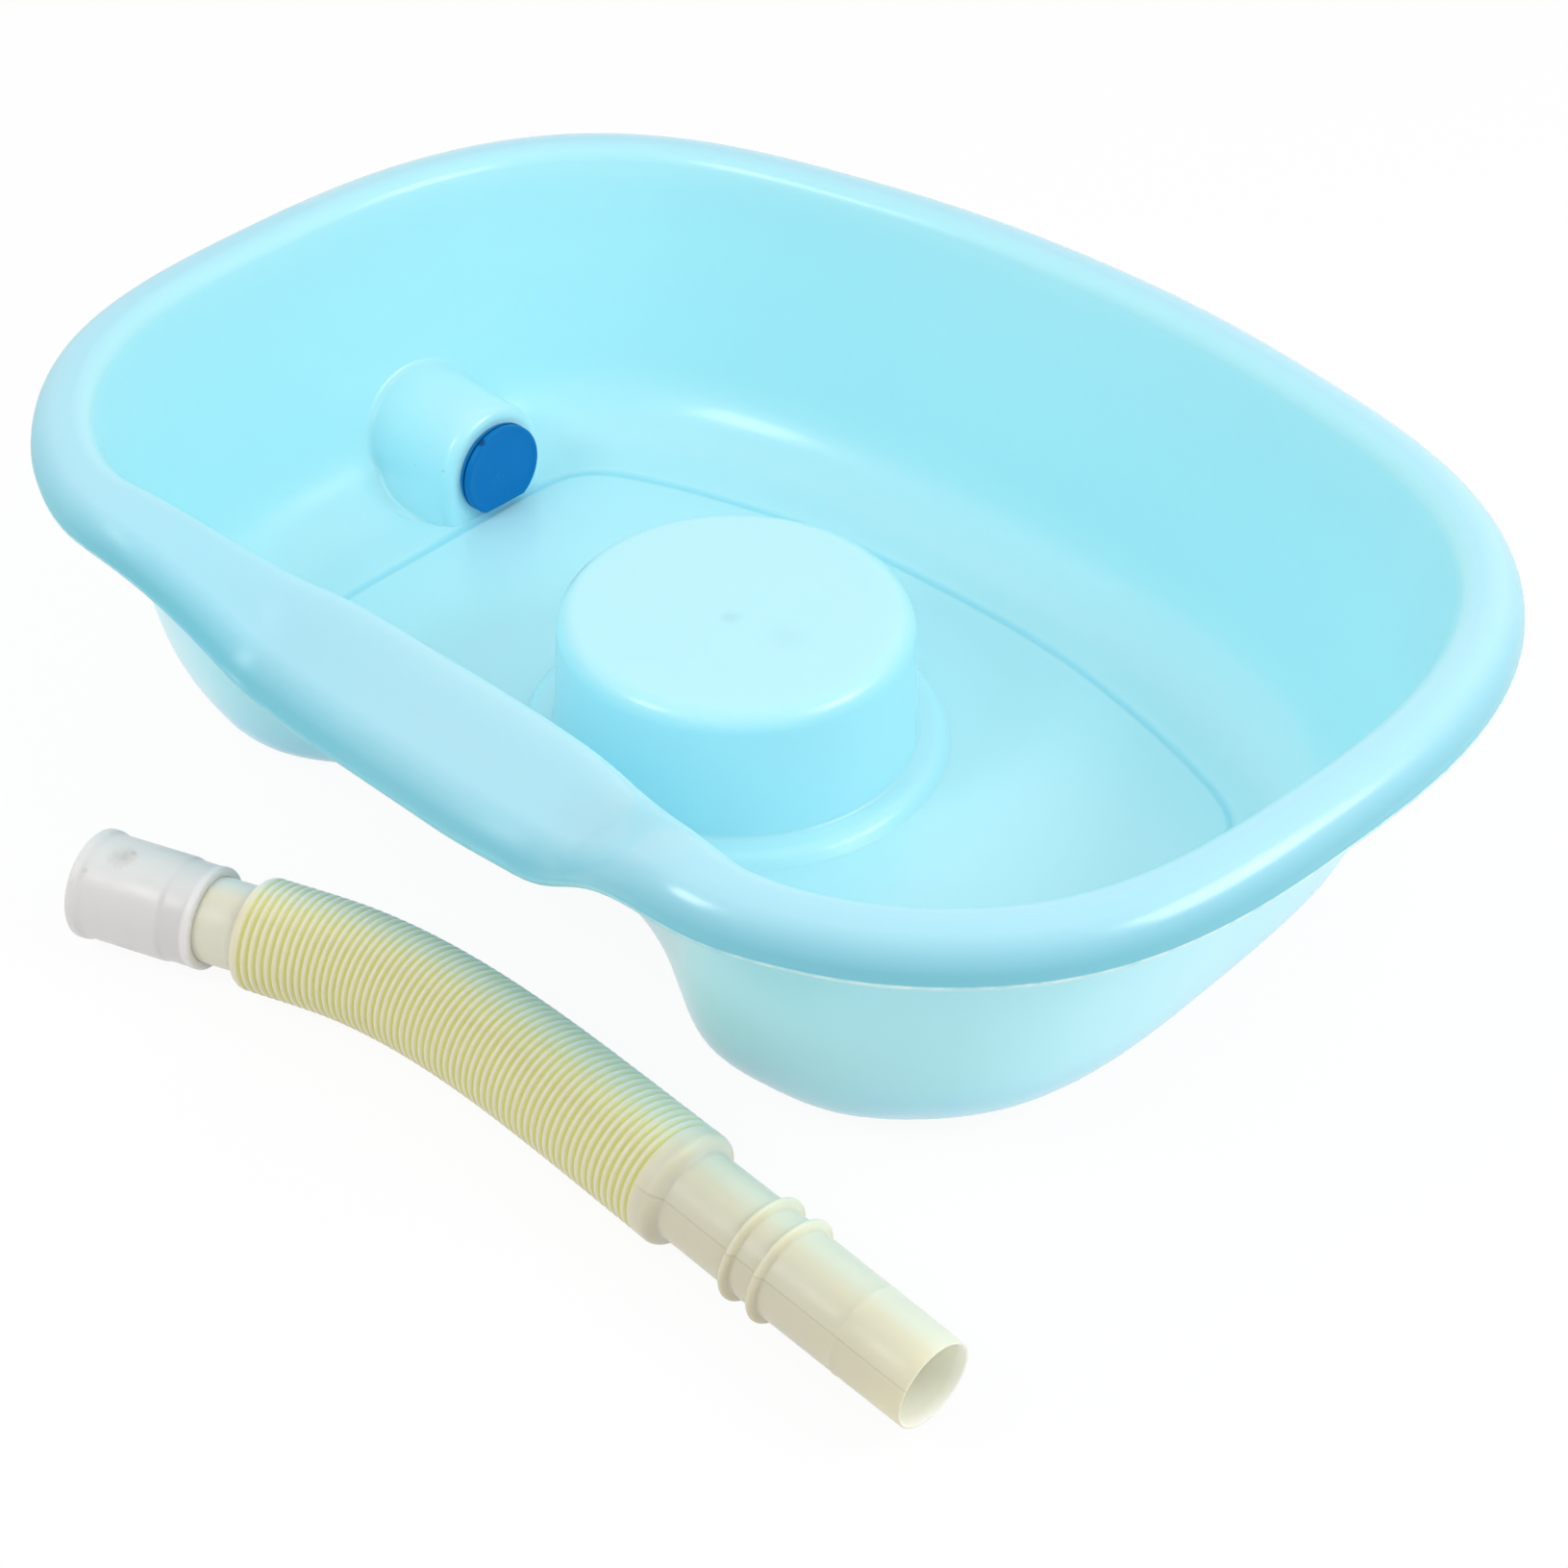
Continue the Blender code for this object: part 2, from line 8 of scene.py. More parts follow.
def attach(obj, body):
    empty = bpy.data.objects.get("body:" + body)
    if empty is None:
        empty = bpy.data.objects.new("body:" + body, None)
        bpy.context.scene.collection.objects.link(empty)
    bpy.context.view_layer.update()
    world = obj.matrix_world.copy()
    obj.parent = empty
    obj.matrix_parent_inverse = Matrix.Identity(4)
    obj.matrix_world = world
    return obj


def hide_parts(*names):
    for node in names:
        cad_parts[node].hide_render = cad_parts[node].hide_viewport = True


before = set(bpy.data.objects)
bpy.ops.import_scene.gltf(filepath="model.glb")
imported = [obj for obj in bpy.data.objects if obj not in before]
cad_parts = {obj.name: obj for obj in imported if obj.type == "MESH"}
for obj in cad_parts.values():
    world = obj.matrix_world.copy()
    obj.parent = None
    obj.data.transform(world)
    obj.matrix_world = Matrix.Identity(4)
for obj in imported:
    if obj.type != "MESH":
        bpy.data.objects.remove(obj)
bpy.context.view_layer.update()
print("frame loaded with", ", ".join(sorted(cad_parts)))

scene = bpy.context.scene
scene.view_settings.view_transform = "Standard"


cameraSettings = {
    "place": (0.54997, -0.60142, 0.63961),
    "right": (0.73597, 0.67682, 0.01606),
    "up": (-0.44021, 0.46039, 0.77088),
    "back": (0.51435, -0.57441, 0.63678),
    "lens": 60.905,
    "sensorWidth": 36.0,
}


def placeCamera(c):
    data = bpy.data.cameras.new("photoCamera")
    data.lens = c["lens"]
    data.sensor_width = c["sensorWidth"]
    data.clip_start = 0.01
    camera = bpy.data.objects.new("photoCamera", data)
    turn = Matrix((c["right"], c["up"], c["back"])).transposed()
    camera.matrix_world = Matrix.Translation(c["place"]) @ turn.to_4x4()
    scene.collection.objects.link(camera)
    scene.camera = camera


placeCamera(cameraSettings)
print("camera placed")


def addNode(tree, kind, **values):
    node = tree.nodes.new(kind)
    for key, value in values.items():
        setattr(node, key, value)
    return node


def wire(tree, *pairs):
    for start, end in zip(pairs[::2], pairs[1::2]):
        tree.links.new(start, end)


def mathStep(tree, operation, first, second=None, clamp=False):
    node = addNode(tree, "ShaderNodeMath", operation=operation, use_clamp=clamp)
    for place, value in enumerate((first, second)):
        if value is None:
            continue
        if isinstance(value, (int, float)):
            node.inputs[place].default_value = value
        else:
            tree.links.new(value, node.inputs[place])
    return node.outputs[0]


def times(tree, first, second):
    return mathStep(tree, "MULTIPLY", first, second)


def plus(tree, first, second):
    return mathStep(tree, "ADD", first, second)


def minus(tree, first, second, clamp=False):
    return mathStep(tree, "SUBTRACT", first, second, clamp=clamp)


def apart(tree, first, second):
    return mathStep(tree, "ABSOLUTE", minus(tree, first, second))


def larger(tree, first, second):
    return mathStep(tree, "MAXIMUM", first, second)


def vectorStep(tree, operation, first, second):
    node = addNode(tree, "ShaderNodeVectorMath", operation=operation)
    for place, value in enumerate((first, second)):
        if isinstance(value, tuple):
            node.inputs[place].default_value = value
        else:
            tree.links.new(value, node.inputs[place])
    return node.outputs["Vector" if operation == "SUBTRACT" else "Value"]


def scaledNoise(tree, coords, scale, detail, roughness=0.5):
    node = addNode(tree, "ShaderNodeTexNoise")
    for name, value in (("Scale", scale), ("Detail", detail), ("Roughness", roughness)):
        node.inputs[name].default_value = value
    wire(tree, coords, node.inputs["Vector"])
    return node.outputs["Fac"]


def remap(tree, value, low, high, newLow=0.0, newHigh=1.0, smooth=False):
    node = addNode(tree, "ShaderNodeMapRange")
    if smooth:
        node.interpolation_type = "SMOOTHSTEP"
    limits = {"From Min": low, "From Max": high, "To Min": newLow, "To Max": newHigh}
    for name, limit in limits.items():
        node.inputs[name].default_value = limit
    wire(tree, value, node.inputs["Value"])
    return node.outputs["Result"]


def mixColors(tree, factor, first, second):
    node = addNode(tree, "ShaderNodeMix", data_type="RGBA")
    for place, value in ((0, factor), (6, first), (7, second)):
        if isinstance(value, float):
            node.inputs[place].default_value = value
        elif isinstance(value, tuple):
            node.inputs[place].default_value = (*value, 1.0)
        else:
            wire(tree, value, node.inputs[place])
    return node.outputs[2]


def readAttribute(tree, name):
    return addNode(tree, "ShaderNodeAttribute", attribute_name=name).outputs["Fac"]


def facingOf(tree):
    split = addNode(tree, "ShaderNodeSeparateXYZ")
    wire(tree, addNode(tree, "ShaderNodeTexCoord").outputs["Normal"], split.inputs[0])
    return split.outputs


# A ragged mark round a place: full within the inner distance, and gone past the outer one.
def raggedMark(tree, place, at, outer, inner, grain, smooth=False):
    scale, detail, spread = grain
    noise = times(tree, scaledNoise(tree, place, scale, detail), spread)
    away = plus(tree, vectorStep(tree, "DISTANCE", place, at), noise)
    return remap(tree, away, outer, inner, smooth=smooth)


# Each layer is its height, the bump's distance in metres and its strength.
def addBumps(tree, layers):
    normal = None
    for height, distance, strength in layers:
        bump = addNode(tree, "ShaderNodeBump")
        bump.inputs["Distance"].default_value = distance
        bump.inputs["Strength"].default_value = strength
        wire(tree, height, bump.inputs["Height"])
        if normal:
            wire(tree, normal, bump.inputs["Normal"])
        normal = bump.outputs["Normal"]
    return normal


def startMaterial(name, sockets):
    material = bpy.data.materials.new(name)
    material.use_nodes = True
    tree = material.node_tree
    shader = tree.nodes["Principled BSDF"]
    for key, value in sockets.items():
        shader.inputs[key].default_value = value
    place = addNode(tree, "ShaderNodeTexCoord").outputs["Object"]
    return material, tree, shader, place


# The end of each plastic: its colour, its roughness over the surface and its fine relief. Waves
# and grain are (noise scale, detail, bump distance, strength), and other relief lies between.
def dressShader(k, parts, color, rough=None, relief=()):
    material, tree, shader, place = parts
    waves, grain = (
        (scaledNoise(tree, place, *k[name][:2]), *k[name][2:]) for name in ("waves", "grain")
    )
    if rough is None:
        rough = remap(tree, waves[0], 0.3, 0.7, *k["roughness"])
    wire(
        tree,
        color, shader.inputs["Base Color"],
        rough, shader.inputs["Roughness"],
        addBumps(tree, (waves, *relief, grain)), shader.inputs["Normal"],
    )
    return material


def meshVolume(mesh):
    total = 0.0
    mesh.calc_loop_triangles()
    points = [v.co for v in mesh.vertices]
    for triangle in mesh.loop_triangles:
        a, b, c = (points[i] for i in triangle.vertices)
        total += a.dot(b.cross(c)) / 6
    return total


def finishPiece(name, points, faces, sharpAngle=None):
    mesh = bpy.data.meshes.new(name)
    mesh.from_pydata([tuple(p) for p in points], [], faces)
    mesh.validate()
    if meshVolume(mesh) < 0:
        mesh.flip_normals()
    mesh.shade_smooth()
    if sharpAngle:
        mesh.set_sharp_from_angle(angle=math.radians(sharpAngle))
    piece = bpy.data.objects.new(name, mesh)
    scene.collection.objects.link(piece)
    return piece


# Rows of points joined into a skin. A pole is one point that closes the skin before its first
# row or after its last one; otherwise the ends are capped or, for a ring, joined to each other.
def skinRows(name, rows, firstPole=None, lastPole=None, capped=False, ring=False, sharpAngle=None):
    width = len(rows[0])
    points = [p for row in rows for p in row]
    faces = []
    count = len(rows)
    for r in range(count if ring else count - 1):
        ahead = (r + 1) % count
        for c in range(width):
            beside = (c + 1) % width
            near, far = r * width, ahead * width
            faces.append((near + c, far + c, far + beside, near + beside))
    if firstPole is not None:
        points.append(firstPole)
        faces += [(len(points) - 1, c, (c + 1) % width) for c in range(width)]
    last = (count - 1) * width
    if lastPole is not None:
        points.append(lastPole)
        faces += [(last + c, len(points) - 1, last + (c + 1) % width) for c in range(width)]
    if capped:
        faces.append(tuple(range(width)))
        faces.append(tuple(last + c for c in reversed(range(width))))
    return finishPiece(name, points, faces, sharpAngle)


# A profile of (radius, length along the axis) turned round an axis. A zero radius is a pole.
def turnProfile(name, profile, origin, axis, steps, ring=False, sharpAngle=None):
    forward = Vector(axis).normalized()
    side = forward.cross(Vector((0, 0, 1))).normalized()
    lift = side.cross(forward)
    start = Vector(origin)
    poles = [None, None]
    rows = []
    for index, (radius, along) in enumerate(profile):
        middle = start + forward * along
        if radius == 0:
            poles[0 if index == 0 else 1] = tuple(middle)
            continue
        row = []
        for step in range(steps):
            turn = 2 * math.pi * step / steps
            out = side * radius * math.cos(turn) + lift * radius * math.sin(turn)
            row.append(tuple(middle + out))
        rows.append(row)
    return skinRows(name, rows, poles[0], poles[1], ring=ring, sharpAngle=sharpAngle)


def curveTo(start, corner, end, t):
    return (1 - t) ** 2 * start + 2 * t * (1 - t) * corner + t * t * end


def unitRows(vectors):
    return vectors / np.linalg.norm(vectors, axis=-1, keepdims=True)


# Corners of a polyline made round: each corner has its own radius.
def roundCorners(corners, radii, steps=6):
    line = [corners[0]]
    for before, corner, after, radius in zip(corners, corners[1:], corners[2:], radii):
        before, corner, after = (np.array(p, float) for p in (before, corner, after))
        towards = before - corner
        onward = after - corner
        reach = min(radius, 0.48 * np.linalg.norm(towards), 0.48 * np.linalg.norm(onward))
        start = corner + towards / np.linalg.norm(towards) * reach
        end = corner + onward / np.linalg.norm(onward) * reach
        for step in range(steps + 1):
            line.append(tuple(curveTo(start, corner, end, step / steps)))
    line.append(corners[-1])
    return line


def cutWith(piece, cutter, operation):
    modifier = piece.modifiers.new(cutter.name, "BOOLEAN")
    modifier.operation = operation
    modifier.object = cutter
    modifier.solver = "EXACT"


def bakeModifiers(piece):
    bpy.context.view_layer.update()
    graph = bpy.context.evaluated_depsgraph_get()
    mesh = bpy.data.meshes.new_from_object(piece.evaluated_get(graph))
    piece.modifiers.clear()
    old = piece.data
    piece.data = mesh
    bpy.data.meshes.remove(old)


def dropObjects(*things):
    for thing in things:
        bpy.data.objects.remove(thing, do_unlink=True)


def storeNumbers(piece, name, values):
    store = piece.data.attributes.new(name, "FLOAT", "POINT")
    store.data.foreach_set("value", values)


# Weights of the four points that a cubic spline is near to.
def splineWeights(t):
    second = 3 * t ** 3 - 6 * t ** 2 + 4
    third = -3 * t ** 3 + 3 * t ** 2 + 3 * t + 1
    return np.array([(1 - t) ** 3, second, third, t ** 3]) / 6


def splineLine(points, perSpan):
    line = []
    for index in range(1, len(points) - 2):
        near = points[index - 1:index + 3]
        line += [splineWeights(step / perSpan) @ near for step in range(perSpan)]
    return np.array(line)


def splineLoop(points, perSpan):
    return splineLine(np.vstack([points[-1:], points, points[:2]]), perSpan)


hose = {
    "route": (
        (-0.1116, -0.2569), (-0.0872, -0.2479), (-0.0628, -0.2389), (-0.0384, -0.2299),
        (-0.0140, -0.2209), (0.0104, -0.2119), (0.0420, -0.2067), (0.0765, -0.2052),
        (0.1120, -0.2061), (0.1470, -0.2077), (0.1820, -0.2093), (0.2170, -0.2109),
        (0.2520, -0.2125), (0.2870, -0.2141), (0.3220, -0.2157),
    ),
    "axisHeight": 0.0201,
    "start": 0.0360,
    "neckRadius": 0.0153,
    "neckLength": 0.0275,
    "neckShoulder": 0.0040,
    "ribRadius": 0.0200,
    "ribPitch": 0.00304,
    "ribCount": 60,
    "grooveDepth": 0.0009,
    "grooveShare": 0.80,
    "shoulderFlat": 0.0044,
    "shoulderRound": 0.0052,
    "shoulderFullness": 1.3,
    "cuffRadius": 0.0157,
    "cuffTaper": 0.0007,
    "cuffLength": 0.0995,
    "ringPlaces": (0.0274, 0.0393),
    "lineShare": 0.55,  # the fine line, as a share of the way from the second ring to the end
    "lineHeight": 0.0002,
    "wall": 0.0010,
    "columns": 56,
    "crestColor": (0.77, 0.71, 0.52),
    "grooveColor": (0.74, 0.73, 0.26),
    "cuffColor": (0.675, 0.65, 0.505),
    "neckColor": (0.80, 0.77, 0.60),
    "cloudAndUnderShade": (0.64, 0.59, 0.44),
    "paintedSideLight": (0.91, 0.86, 0.62),
    "paintedSideGrooveLight": (0.87, 0.85, 0.34),
    "paintedUpperLight": (0.90, 1.0, 0.82),
    "paintedUpperGrooveLight": (0.85, 0.97, 0.58),
    "paintedBoreLight": (0.98, 0.98, 0.80),
    "seamColor": (0.42, 0.38, 0.28),
    "seamTurn": 146,  # degrees round the cuff from the side towards the basin
    "roughness": (0.30, 0.44),
    "cloudScale": 38.0,
    "waves": (60.0, 2.0, 0.00035, 0.35),
    "grain": (900.0, 2.0, 0.00004, 0.25),
    "seamBump": (0.00015, 0.8),
}

# One of the two thin rings round the cuff: (length from its edge, height over the cuff).
ringProfile = (
    (0.0, 0.0), (0.0002, 0.0010), (0.0005, 0.0019), (0.0009, 0.0025), (0.0014, 0.0027),
    (0.0019, 0.0026), (0.0023, 0.0021), (0.0026, 0.0012), (0.0029, 0.0003), (0.0033, 0.0),
)

# Places of the rows along one rib, as shares of the pitch. The groove lies in the middle.
ribRows = (0.16, 0.30, 0.36, 0.41, 0.455, 0.5, 0.545, 0.59, 0.64, 0.70, 0.84, 1.0)


def hoseRoute(h):
    line = splineLine(np.array(h["route"]), 24)
    steps = np.linalg.norm(np.diff(line, axis=0), axis=1)
    return line, np.concatenate([[0.0], np.cumsum(steps)])


def routePoint(route, along):
    line, lengths = route
    return np.array([np.interp(along, lengths, line[:, axis]) for axis in (0, 1)])


# Rows of the hose's outside, as (length along the route, radius).
def hoseOutside(h):
    start, neck, cuff = h["start"], h["neckRadius"], h["cuffRadius"]
    neckEnd = start + h["neckLength"]
    rows = [(start, neck - 0.0006), (start + 0.0005, neck)]
    rows += [(s, neck) for s in np.linspace(start + 0.004, neckEnd, 6)]
    rise = h["ribRadius"] - neck
    for turn in np.radians((12, 26, 40, 55, 70, 90)):
        along = neckEnd + h["neckShoulder"] * (1 - math.cos(turn))
        rows.append((along, neck + rise * math.sin(turn)))
    firstRib = neckEnd + h["neckShoulder"]
    for rib in range(h["ribCount"]):
        rows += [(firstRib + (rib + share) * h["ribPitch"], h["ribRadius"]) for share in ribRows]
    flat = h["shoulderFlat"]
    flatEnd = firstRib + h["ribCount"] * h["ribPitch"] + flat
    rows += [(s, h["ribRadius"]) for s in np.linspace(flatEnd - 0.7 * flat, flatEnd, 3)]
    drop = h["ribRadius"] - cuff
    for t in np.linspace(0, 1, 13)[1:]:
        share = (1 + math.cos(math.pi * t ** h["shoulderFullness"])) / 2
        rows.append((flatEnd + h["shoulderRound"] * t, cuff + drop * share))
    cuffStart = flatEnd + h["shoulderRound"]
    end = cuffStart + h["cuffLength"]
    first, second = (cuffStart + place for place in h["ringPlaces"])
    line = second + h["lineShare"] * (end - second)

    def tapered(along):
        past = max(along - second, 0) / (end - second)
        return cuff - h["cuffTaper"] * past

    rows += [(s, cuff) for s in np.linspace(cuffStart + 0.002, first - 0.0006, 8)]
    rows += [(first + s, cuff + height) for s, height in ringProfile]
    rows += [(s, cuff) for s in np.linspace(first + 0.0040, second - 0.0006, 4)]
    rows += [(second + s, tapered(second + s) + height) for s, height in ringProfile]
    rows += [(s, tapered(s)) for s in np.linspace(second + 0.0045, line - 0.0008, 9)]
    rows += [(line + s, tapered(line) + h["lineHeight"]) for s in (-0.0003, 0.0003)]
    rows += [(s, tapered(s)) for s in np.linspace(line + 0.0008, end - 0.0004, 7)]
    rows += [(end - 0.0001, tapered(end) - 0.00015), (end, tapered(end) - 0.0004)]
    return rows, firstRib, end


def hoseInside(h, firstRib, end):
    thin = h["cuffRadius"] - h["cuffTaper"] - h["wall"]
    wide = h["ribRadius"] - h["grooveDepth"] - h["wall"]
    lastRib = firstRib + h["ribCount"] * h["ribPitch"]
    rows = [(end, thin + 0.0003), (end - 0.0002, thin)]
    rows += [(s, thin) for s in np.linspace(end - 0.004, lastRib + 0.010, 22)]
    rows += [(s, wide) for s in np.linspace(lastRib + 0.004, firstRib, 30)]
    narrow = h["neckRadius"] - h["wall"]
    rows += [(s, narrow) for s in np.linspace(firstRib - 0.004, h["start"] + 0.0005, 5)]
    rows.append((h["start"], narrow + 0.0005))
    return rows


def buildHoseTube(h):
    route = hoseRoute(h)
    outside, firstRib, end = hoseOutside(h)
    inside = hoseInside(h, firstRib, end)
    rows = []
    facts = {"along": [], "around": [], "outside": [], "radial": []}
    for isOutside, (along, radius) in [(1.0, p) for p in outside] + [(0.0, p) for p in inside]:
        x, y = routePoint(route, along)
        heading = routePoint(route, along + 0.001) - routePoint(route, along - 0.001)
        heading /= np.linalg.norm(heading)
        row = []
        for column in range(h["columns"]):
            turn = 2 * math.pi * column / h["columns"]
            flat = math.cos(turn)
            out = np.array([-heading[1] * flat, heading[0] * flat, math.sin(turn)])
            row.append(np.array([x, y, h["axisHeight"]]) + out * radius)
            for name, value in zip(facts, (along, turn, isOutside, out)):
                facts[name].append(value)
        rows.append(row)
    tube = skinRows("drainHose", rows, ring=True)
    for name in ("along", "around", "outside"):
        storeNumbers(tube, name, facts[name])
    store = tube.data.attributes.new("radial", "FLOAT_VECTOR", "POINT")
    store.data.foreach_set("vector", np.array(facts["radial"]).ravel())
    return tube, firstRib, end


# Geometry Nodes: presses the grooves between the ribs into the smooth tube.
def ribTree(material):
    tree = bpy.data.node_groups.new("pressRibs", "GeometryNodeTree")
    tree.interface.new_socket("Geometry", in_out="INPUT", socket_type="NodeSocketGeometry")
    for name in ("First Rib", "Rib Pitch", "Rib Count", "Groove Depth", "Groove Share"):
        tree.interface.new_socket(name, in_out="INPUT", socket_type="NodeSocketFloat")
    tree.interface.new_socket("Geometry", in_out="OUTPUT", socket_type="NodeSocketGeometry")
    start = addNode(tree, "NodeGroupInput")
    finish = addNode(tree, "NodeGroupOutput")

    def reading(name, kind="FLOAT"):
        node = addNode(tree, "GeometryNodeInputNamedAttribute", data_type=kind)
        node.inputs["Name"].default_value = name
        return node.outputs["Attribute"]

    fromFirst = minus(tree, reading("along"), start.outputs["First Rib"])
    ribPlace = mathStep(tree, "DIVIDE", fromFirst, start.outputs["Rib Pitch"])
    fromGroove = apart(tree, mathStep(tree, "FRACT", ribPlace), 0.5)
    halfShare = times(tree, start.outputs["Groove Share"], 0.5)
    near = minus(tree, 1.0, mathStep(tree, "DIVIDE", fromGroove, halfShare), clamp=True)
    # A smooth step from the crest down to the middle of the groove.
    pressed = times(tree, times(tree, near, near), minus(tree, 3.0, times(tree, near, 2.0)))
    afterFirst = mathStep(tree, "GREATER_THAN", ribPlace, 0.0)
    beforeLast = mathStep(tree, "LESS_THAN", ribPlace, start.outputs["Rib Count"])
    ribbed = times(tree, times(tree, afterFirst, beforeLast), reading("outside"))
    groove = times(tree, pressed, ribbed)
    depth = times(tree, groove, times(tree, start.outputs["Groove Depth"], -1.0))
    move = addNode(tree, "ShaderNodeVectorMath", operation="SCALE")
    wire(tree, reading("radial", "FLOAT_VECTOR"), move.inputs[0], depth, move.inputs["Scale"])
    shift = addNode(tree, "GeometryNodeSetPosition")
    keep = addNode(tree, "GeometryNodeStoreNamedAttribute", data_type="FLOAT", domain="POINT")
    keep.inputs["Name"].default_value = "groove"
    real = addNode(tree, "GeometryNodeRealizeInstances")
    dress = addNode(tree, "GeometryNodeSetMaterial")
    dress.inputs["Material"].default_value = material
    wire(tree, groove, keep.inputs["Value"], move.outputs["Vector"], shift.inputs["Offset"])
    chain = (start, keep, shift, real, dress, finish)
    for before, after in zip(chain, chain[1:]):
        wire(tree, before.outputs["Geometry"], after.inputs["Geometry"])
    return tree


def runTree(piece, tree, values):
    modifier = piece.modifiers.new(tree.name, "NODES")
    modifier.node_group = tree
    items = tree.interface.items_tree
    sockets = {item.name: item.identifier for item in items if item.in_out == "INPUT"}
    for name, value in values.items():
        modifier[sockets[name]] = value
    bakeModifiers(piece)


def creamPlastic(h):
    parts = startMaterial("creamHosePlastic", {
        "IOR": 1.49, "Subsurface Weight": 0.60, "Subsurface Scale": 0.004,
        "Subsurface Radius": (1.0, 0.95, 0.65),
    })
    _, tree, _, place = parts
    along = readAttribute(tree, "along")
    around = readAttribute(tree, "around")
    neckEnd = h["start"] + h["neckLength"]
    ribEnd = neckEnd + h["neckShoulder"] + h["ribCount"] * h["ribPitch"]
    onCuff = remap(tree, along, ribEnd - 0.001, ribEnd + 0.004)
    onNeck = remap(tree, along, neckEnd + 0.001, neckEnd - 0.001)
    plain = mixColors(tree, onCuff, h["crestColor"], h["cuffColor"])
    plain = mixColors(tree, onNeck, plain, h["neckColor"])
    cloudy = remap(tree, scaledNoise(tree, place, h["cloudScale"], 3.0), 0.35, 0.70)
    warm = mixColors(tree, times(tree, cloudy, 0.18), plain, h["cloudAndUnderShade"])
    # Painted light: towards the basin the side is painted paler, and at its edge cooler, like light
    # thrown back from the blue basin. Painted shade: near the ground it is painted warmer and
    # darker.
    upward = mathStep(tree, "SINE", around)
    backward = mathStep(tree, "COSINE", around)
    towardsBasin = plus(tree, upward, times(tree, backward, 0.7))
    offCuff = remap(tree, onCuff, 0.0, 1.0, 1.0, 0.5)
    turned = remap(tree, towardsBasin, 0.42, 0.95, 0.0, 0.9, smooth=True)
    turned = times(tree, turned, offCuff)
    upper = times(tree, remap(tree, towardsBasin, 0.85, 1.20, smooth=True), offCuff)
    lower = remap(tree, upward, 0.10, -0.70, 0.0, 0.40, smooth=True)
    seamAt = math.radians(h["seamTurn"])
    # Painted shade also on the cuff, from the parting line round its underside.
    underSeam = remap(tree, around, seamAt - 0.02, seamAt + 0.10, 0.0, 0.45)
    lower = larger(tree, lower, times(tree, onCuff, underSeam))
    paled = mixColors(tree, turned, mixColors(tree, lower, warm, h["cloudAndUnderShade"]), h["paintedSideLight"])
    cooled = mixColors(tree, upper, paled, h["paintedUpperLight"])
    inGroove = remap(tree, readAttribute(tree, "groove"), 0.0, 0.65, 0.0, 0.92, smooth=True)
    # The grooves take the same painted light towards the basin.
    grooveColor = mixColors(tree, turned, h["grooveColor"], h["paintedSideGrooveLight"])
    grooveColor = mixColors(tree, upper, grooveColor, h["paintedUpperGrooveLight"])
    ribs = mixColors(tree, inGroove, cooled, grooveColor)
    # Painted light: the inside of the tube is painted near white, paler than the plastic outside.
    color = mixColors(tree, readAttribute(tree, "outside"), h["paintedBoreLight"], ribs)
    # Mould parting line along the front of the cuff.
    seamLine = times(tree, remap(tree, apart(tree, around, seamAt), 0.035, 0.0), onCuff)
    color = mixColors(tree, times(tree, seamLine, 0.35), color, h["seamColor"])
    return dressShader(h, parts, color, relief=[(seamLine, *h["seamBump"])])


hoseTube, firstRib, hoseEnd = buildHoseTube(hose)
creamHosePlastic = creamPlastic(hose)
hoseTube.data.materials.append(creamHosePlastic)
runTree(hoseTube, ribTree(creamHosePlastic), {
    "First Rib": firstRib,
    "Rib Pitch": hose["ribPitch"],
    "Rib Count": float(hose["ribCount"]),
    "Groove Depth": hose["grooveDepth"],
    "Groove Share": hose["grooveShare"],
})
print("hose made:", len(hoseTube.data.polygons), "faces,", round(hoseEnd - hose["start"], 3), "m")


connector = {
    "length": 0.0480,
    "socket": 0.0120,
    "radius": 0.0188,
    "bore": 0.0163,
    "collarRadius": 0.0181,
    "collarLength": 0.0128,
    "lipRadius": 0.0197,
    "lipWidth": 0.0032,
    "beadRadius": 0.0184,
    "beadWidth": 0.0024,
    "neckGap": 0.00006,
    "heading": (0.93818, 0.34614, 0.0),
    "columns": 96,
    "color": (0.69, 0.675, 0.665),
    "cloud": (0.62, 0.61, 0.60),
    "paintedUpperLight": (0.765, 0.805, 0.795),
    "paintedEndLight": (0.88, 0.88, 0.87),
    "neckShade": (0.58, 0.57, 0.57),
    "neckBandStart": (0.0352, 0.0358),  # along the sleeve, from none to full
    "neckBandEnd": (0.0450, 0.0444),
    "smudge": (0.40, 0.39, 0.36),
    # place (along, towards the front, up), size and strength of each smudge
    "smudges": (
        ((0.0150, 0.0020, 0.0187), 0.0090, 0.60),
        ((0.0172, -0.0012, 0.0188), 0.0024, 0.60),
        ((0.0050, 0.0104, 0.0157), 0.0022, 0.40),
    ),
    "cloudNoise": (70.0, 4.0, 0.6),
    "roughness": (0.28, 0.42),
    "waves": (90.0, 3.0, 0.0003, 0.4),
    "grain": (1100.0, 2.0, 0.00003, 0.3),
}


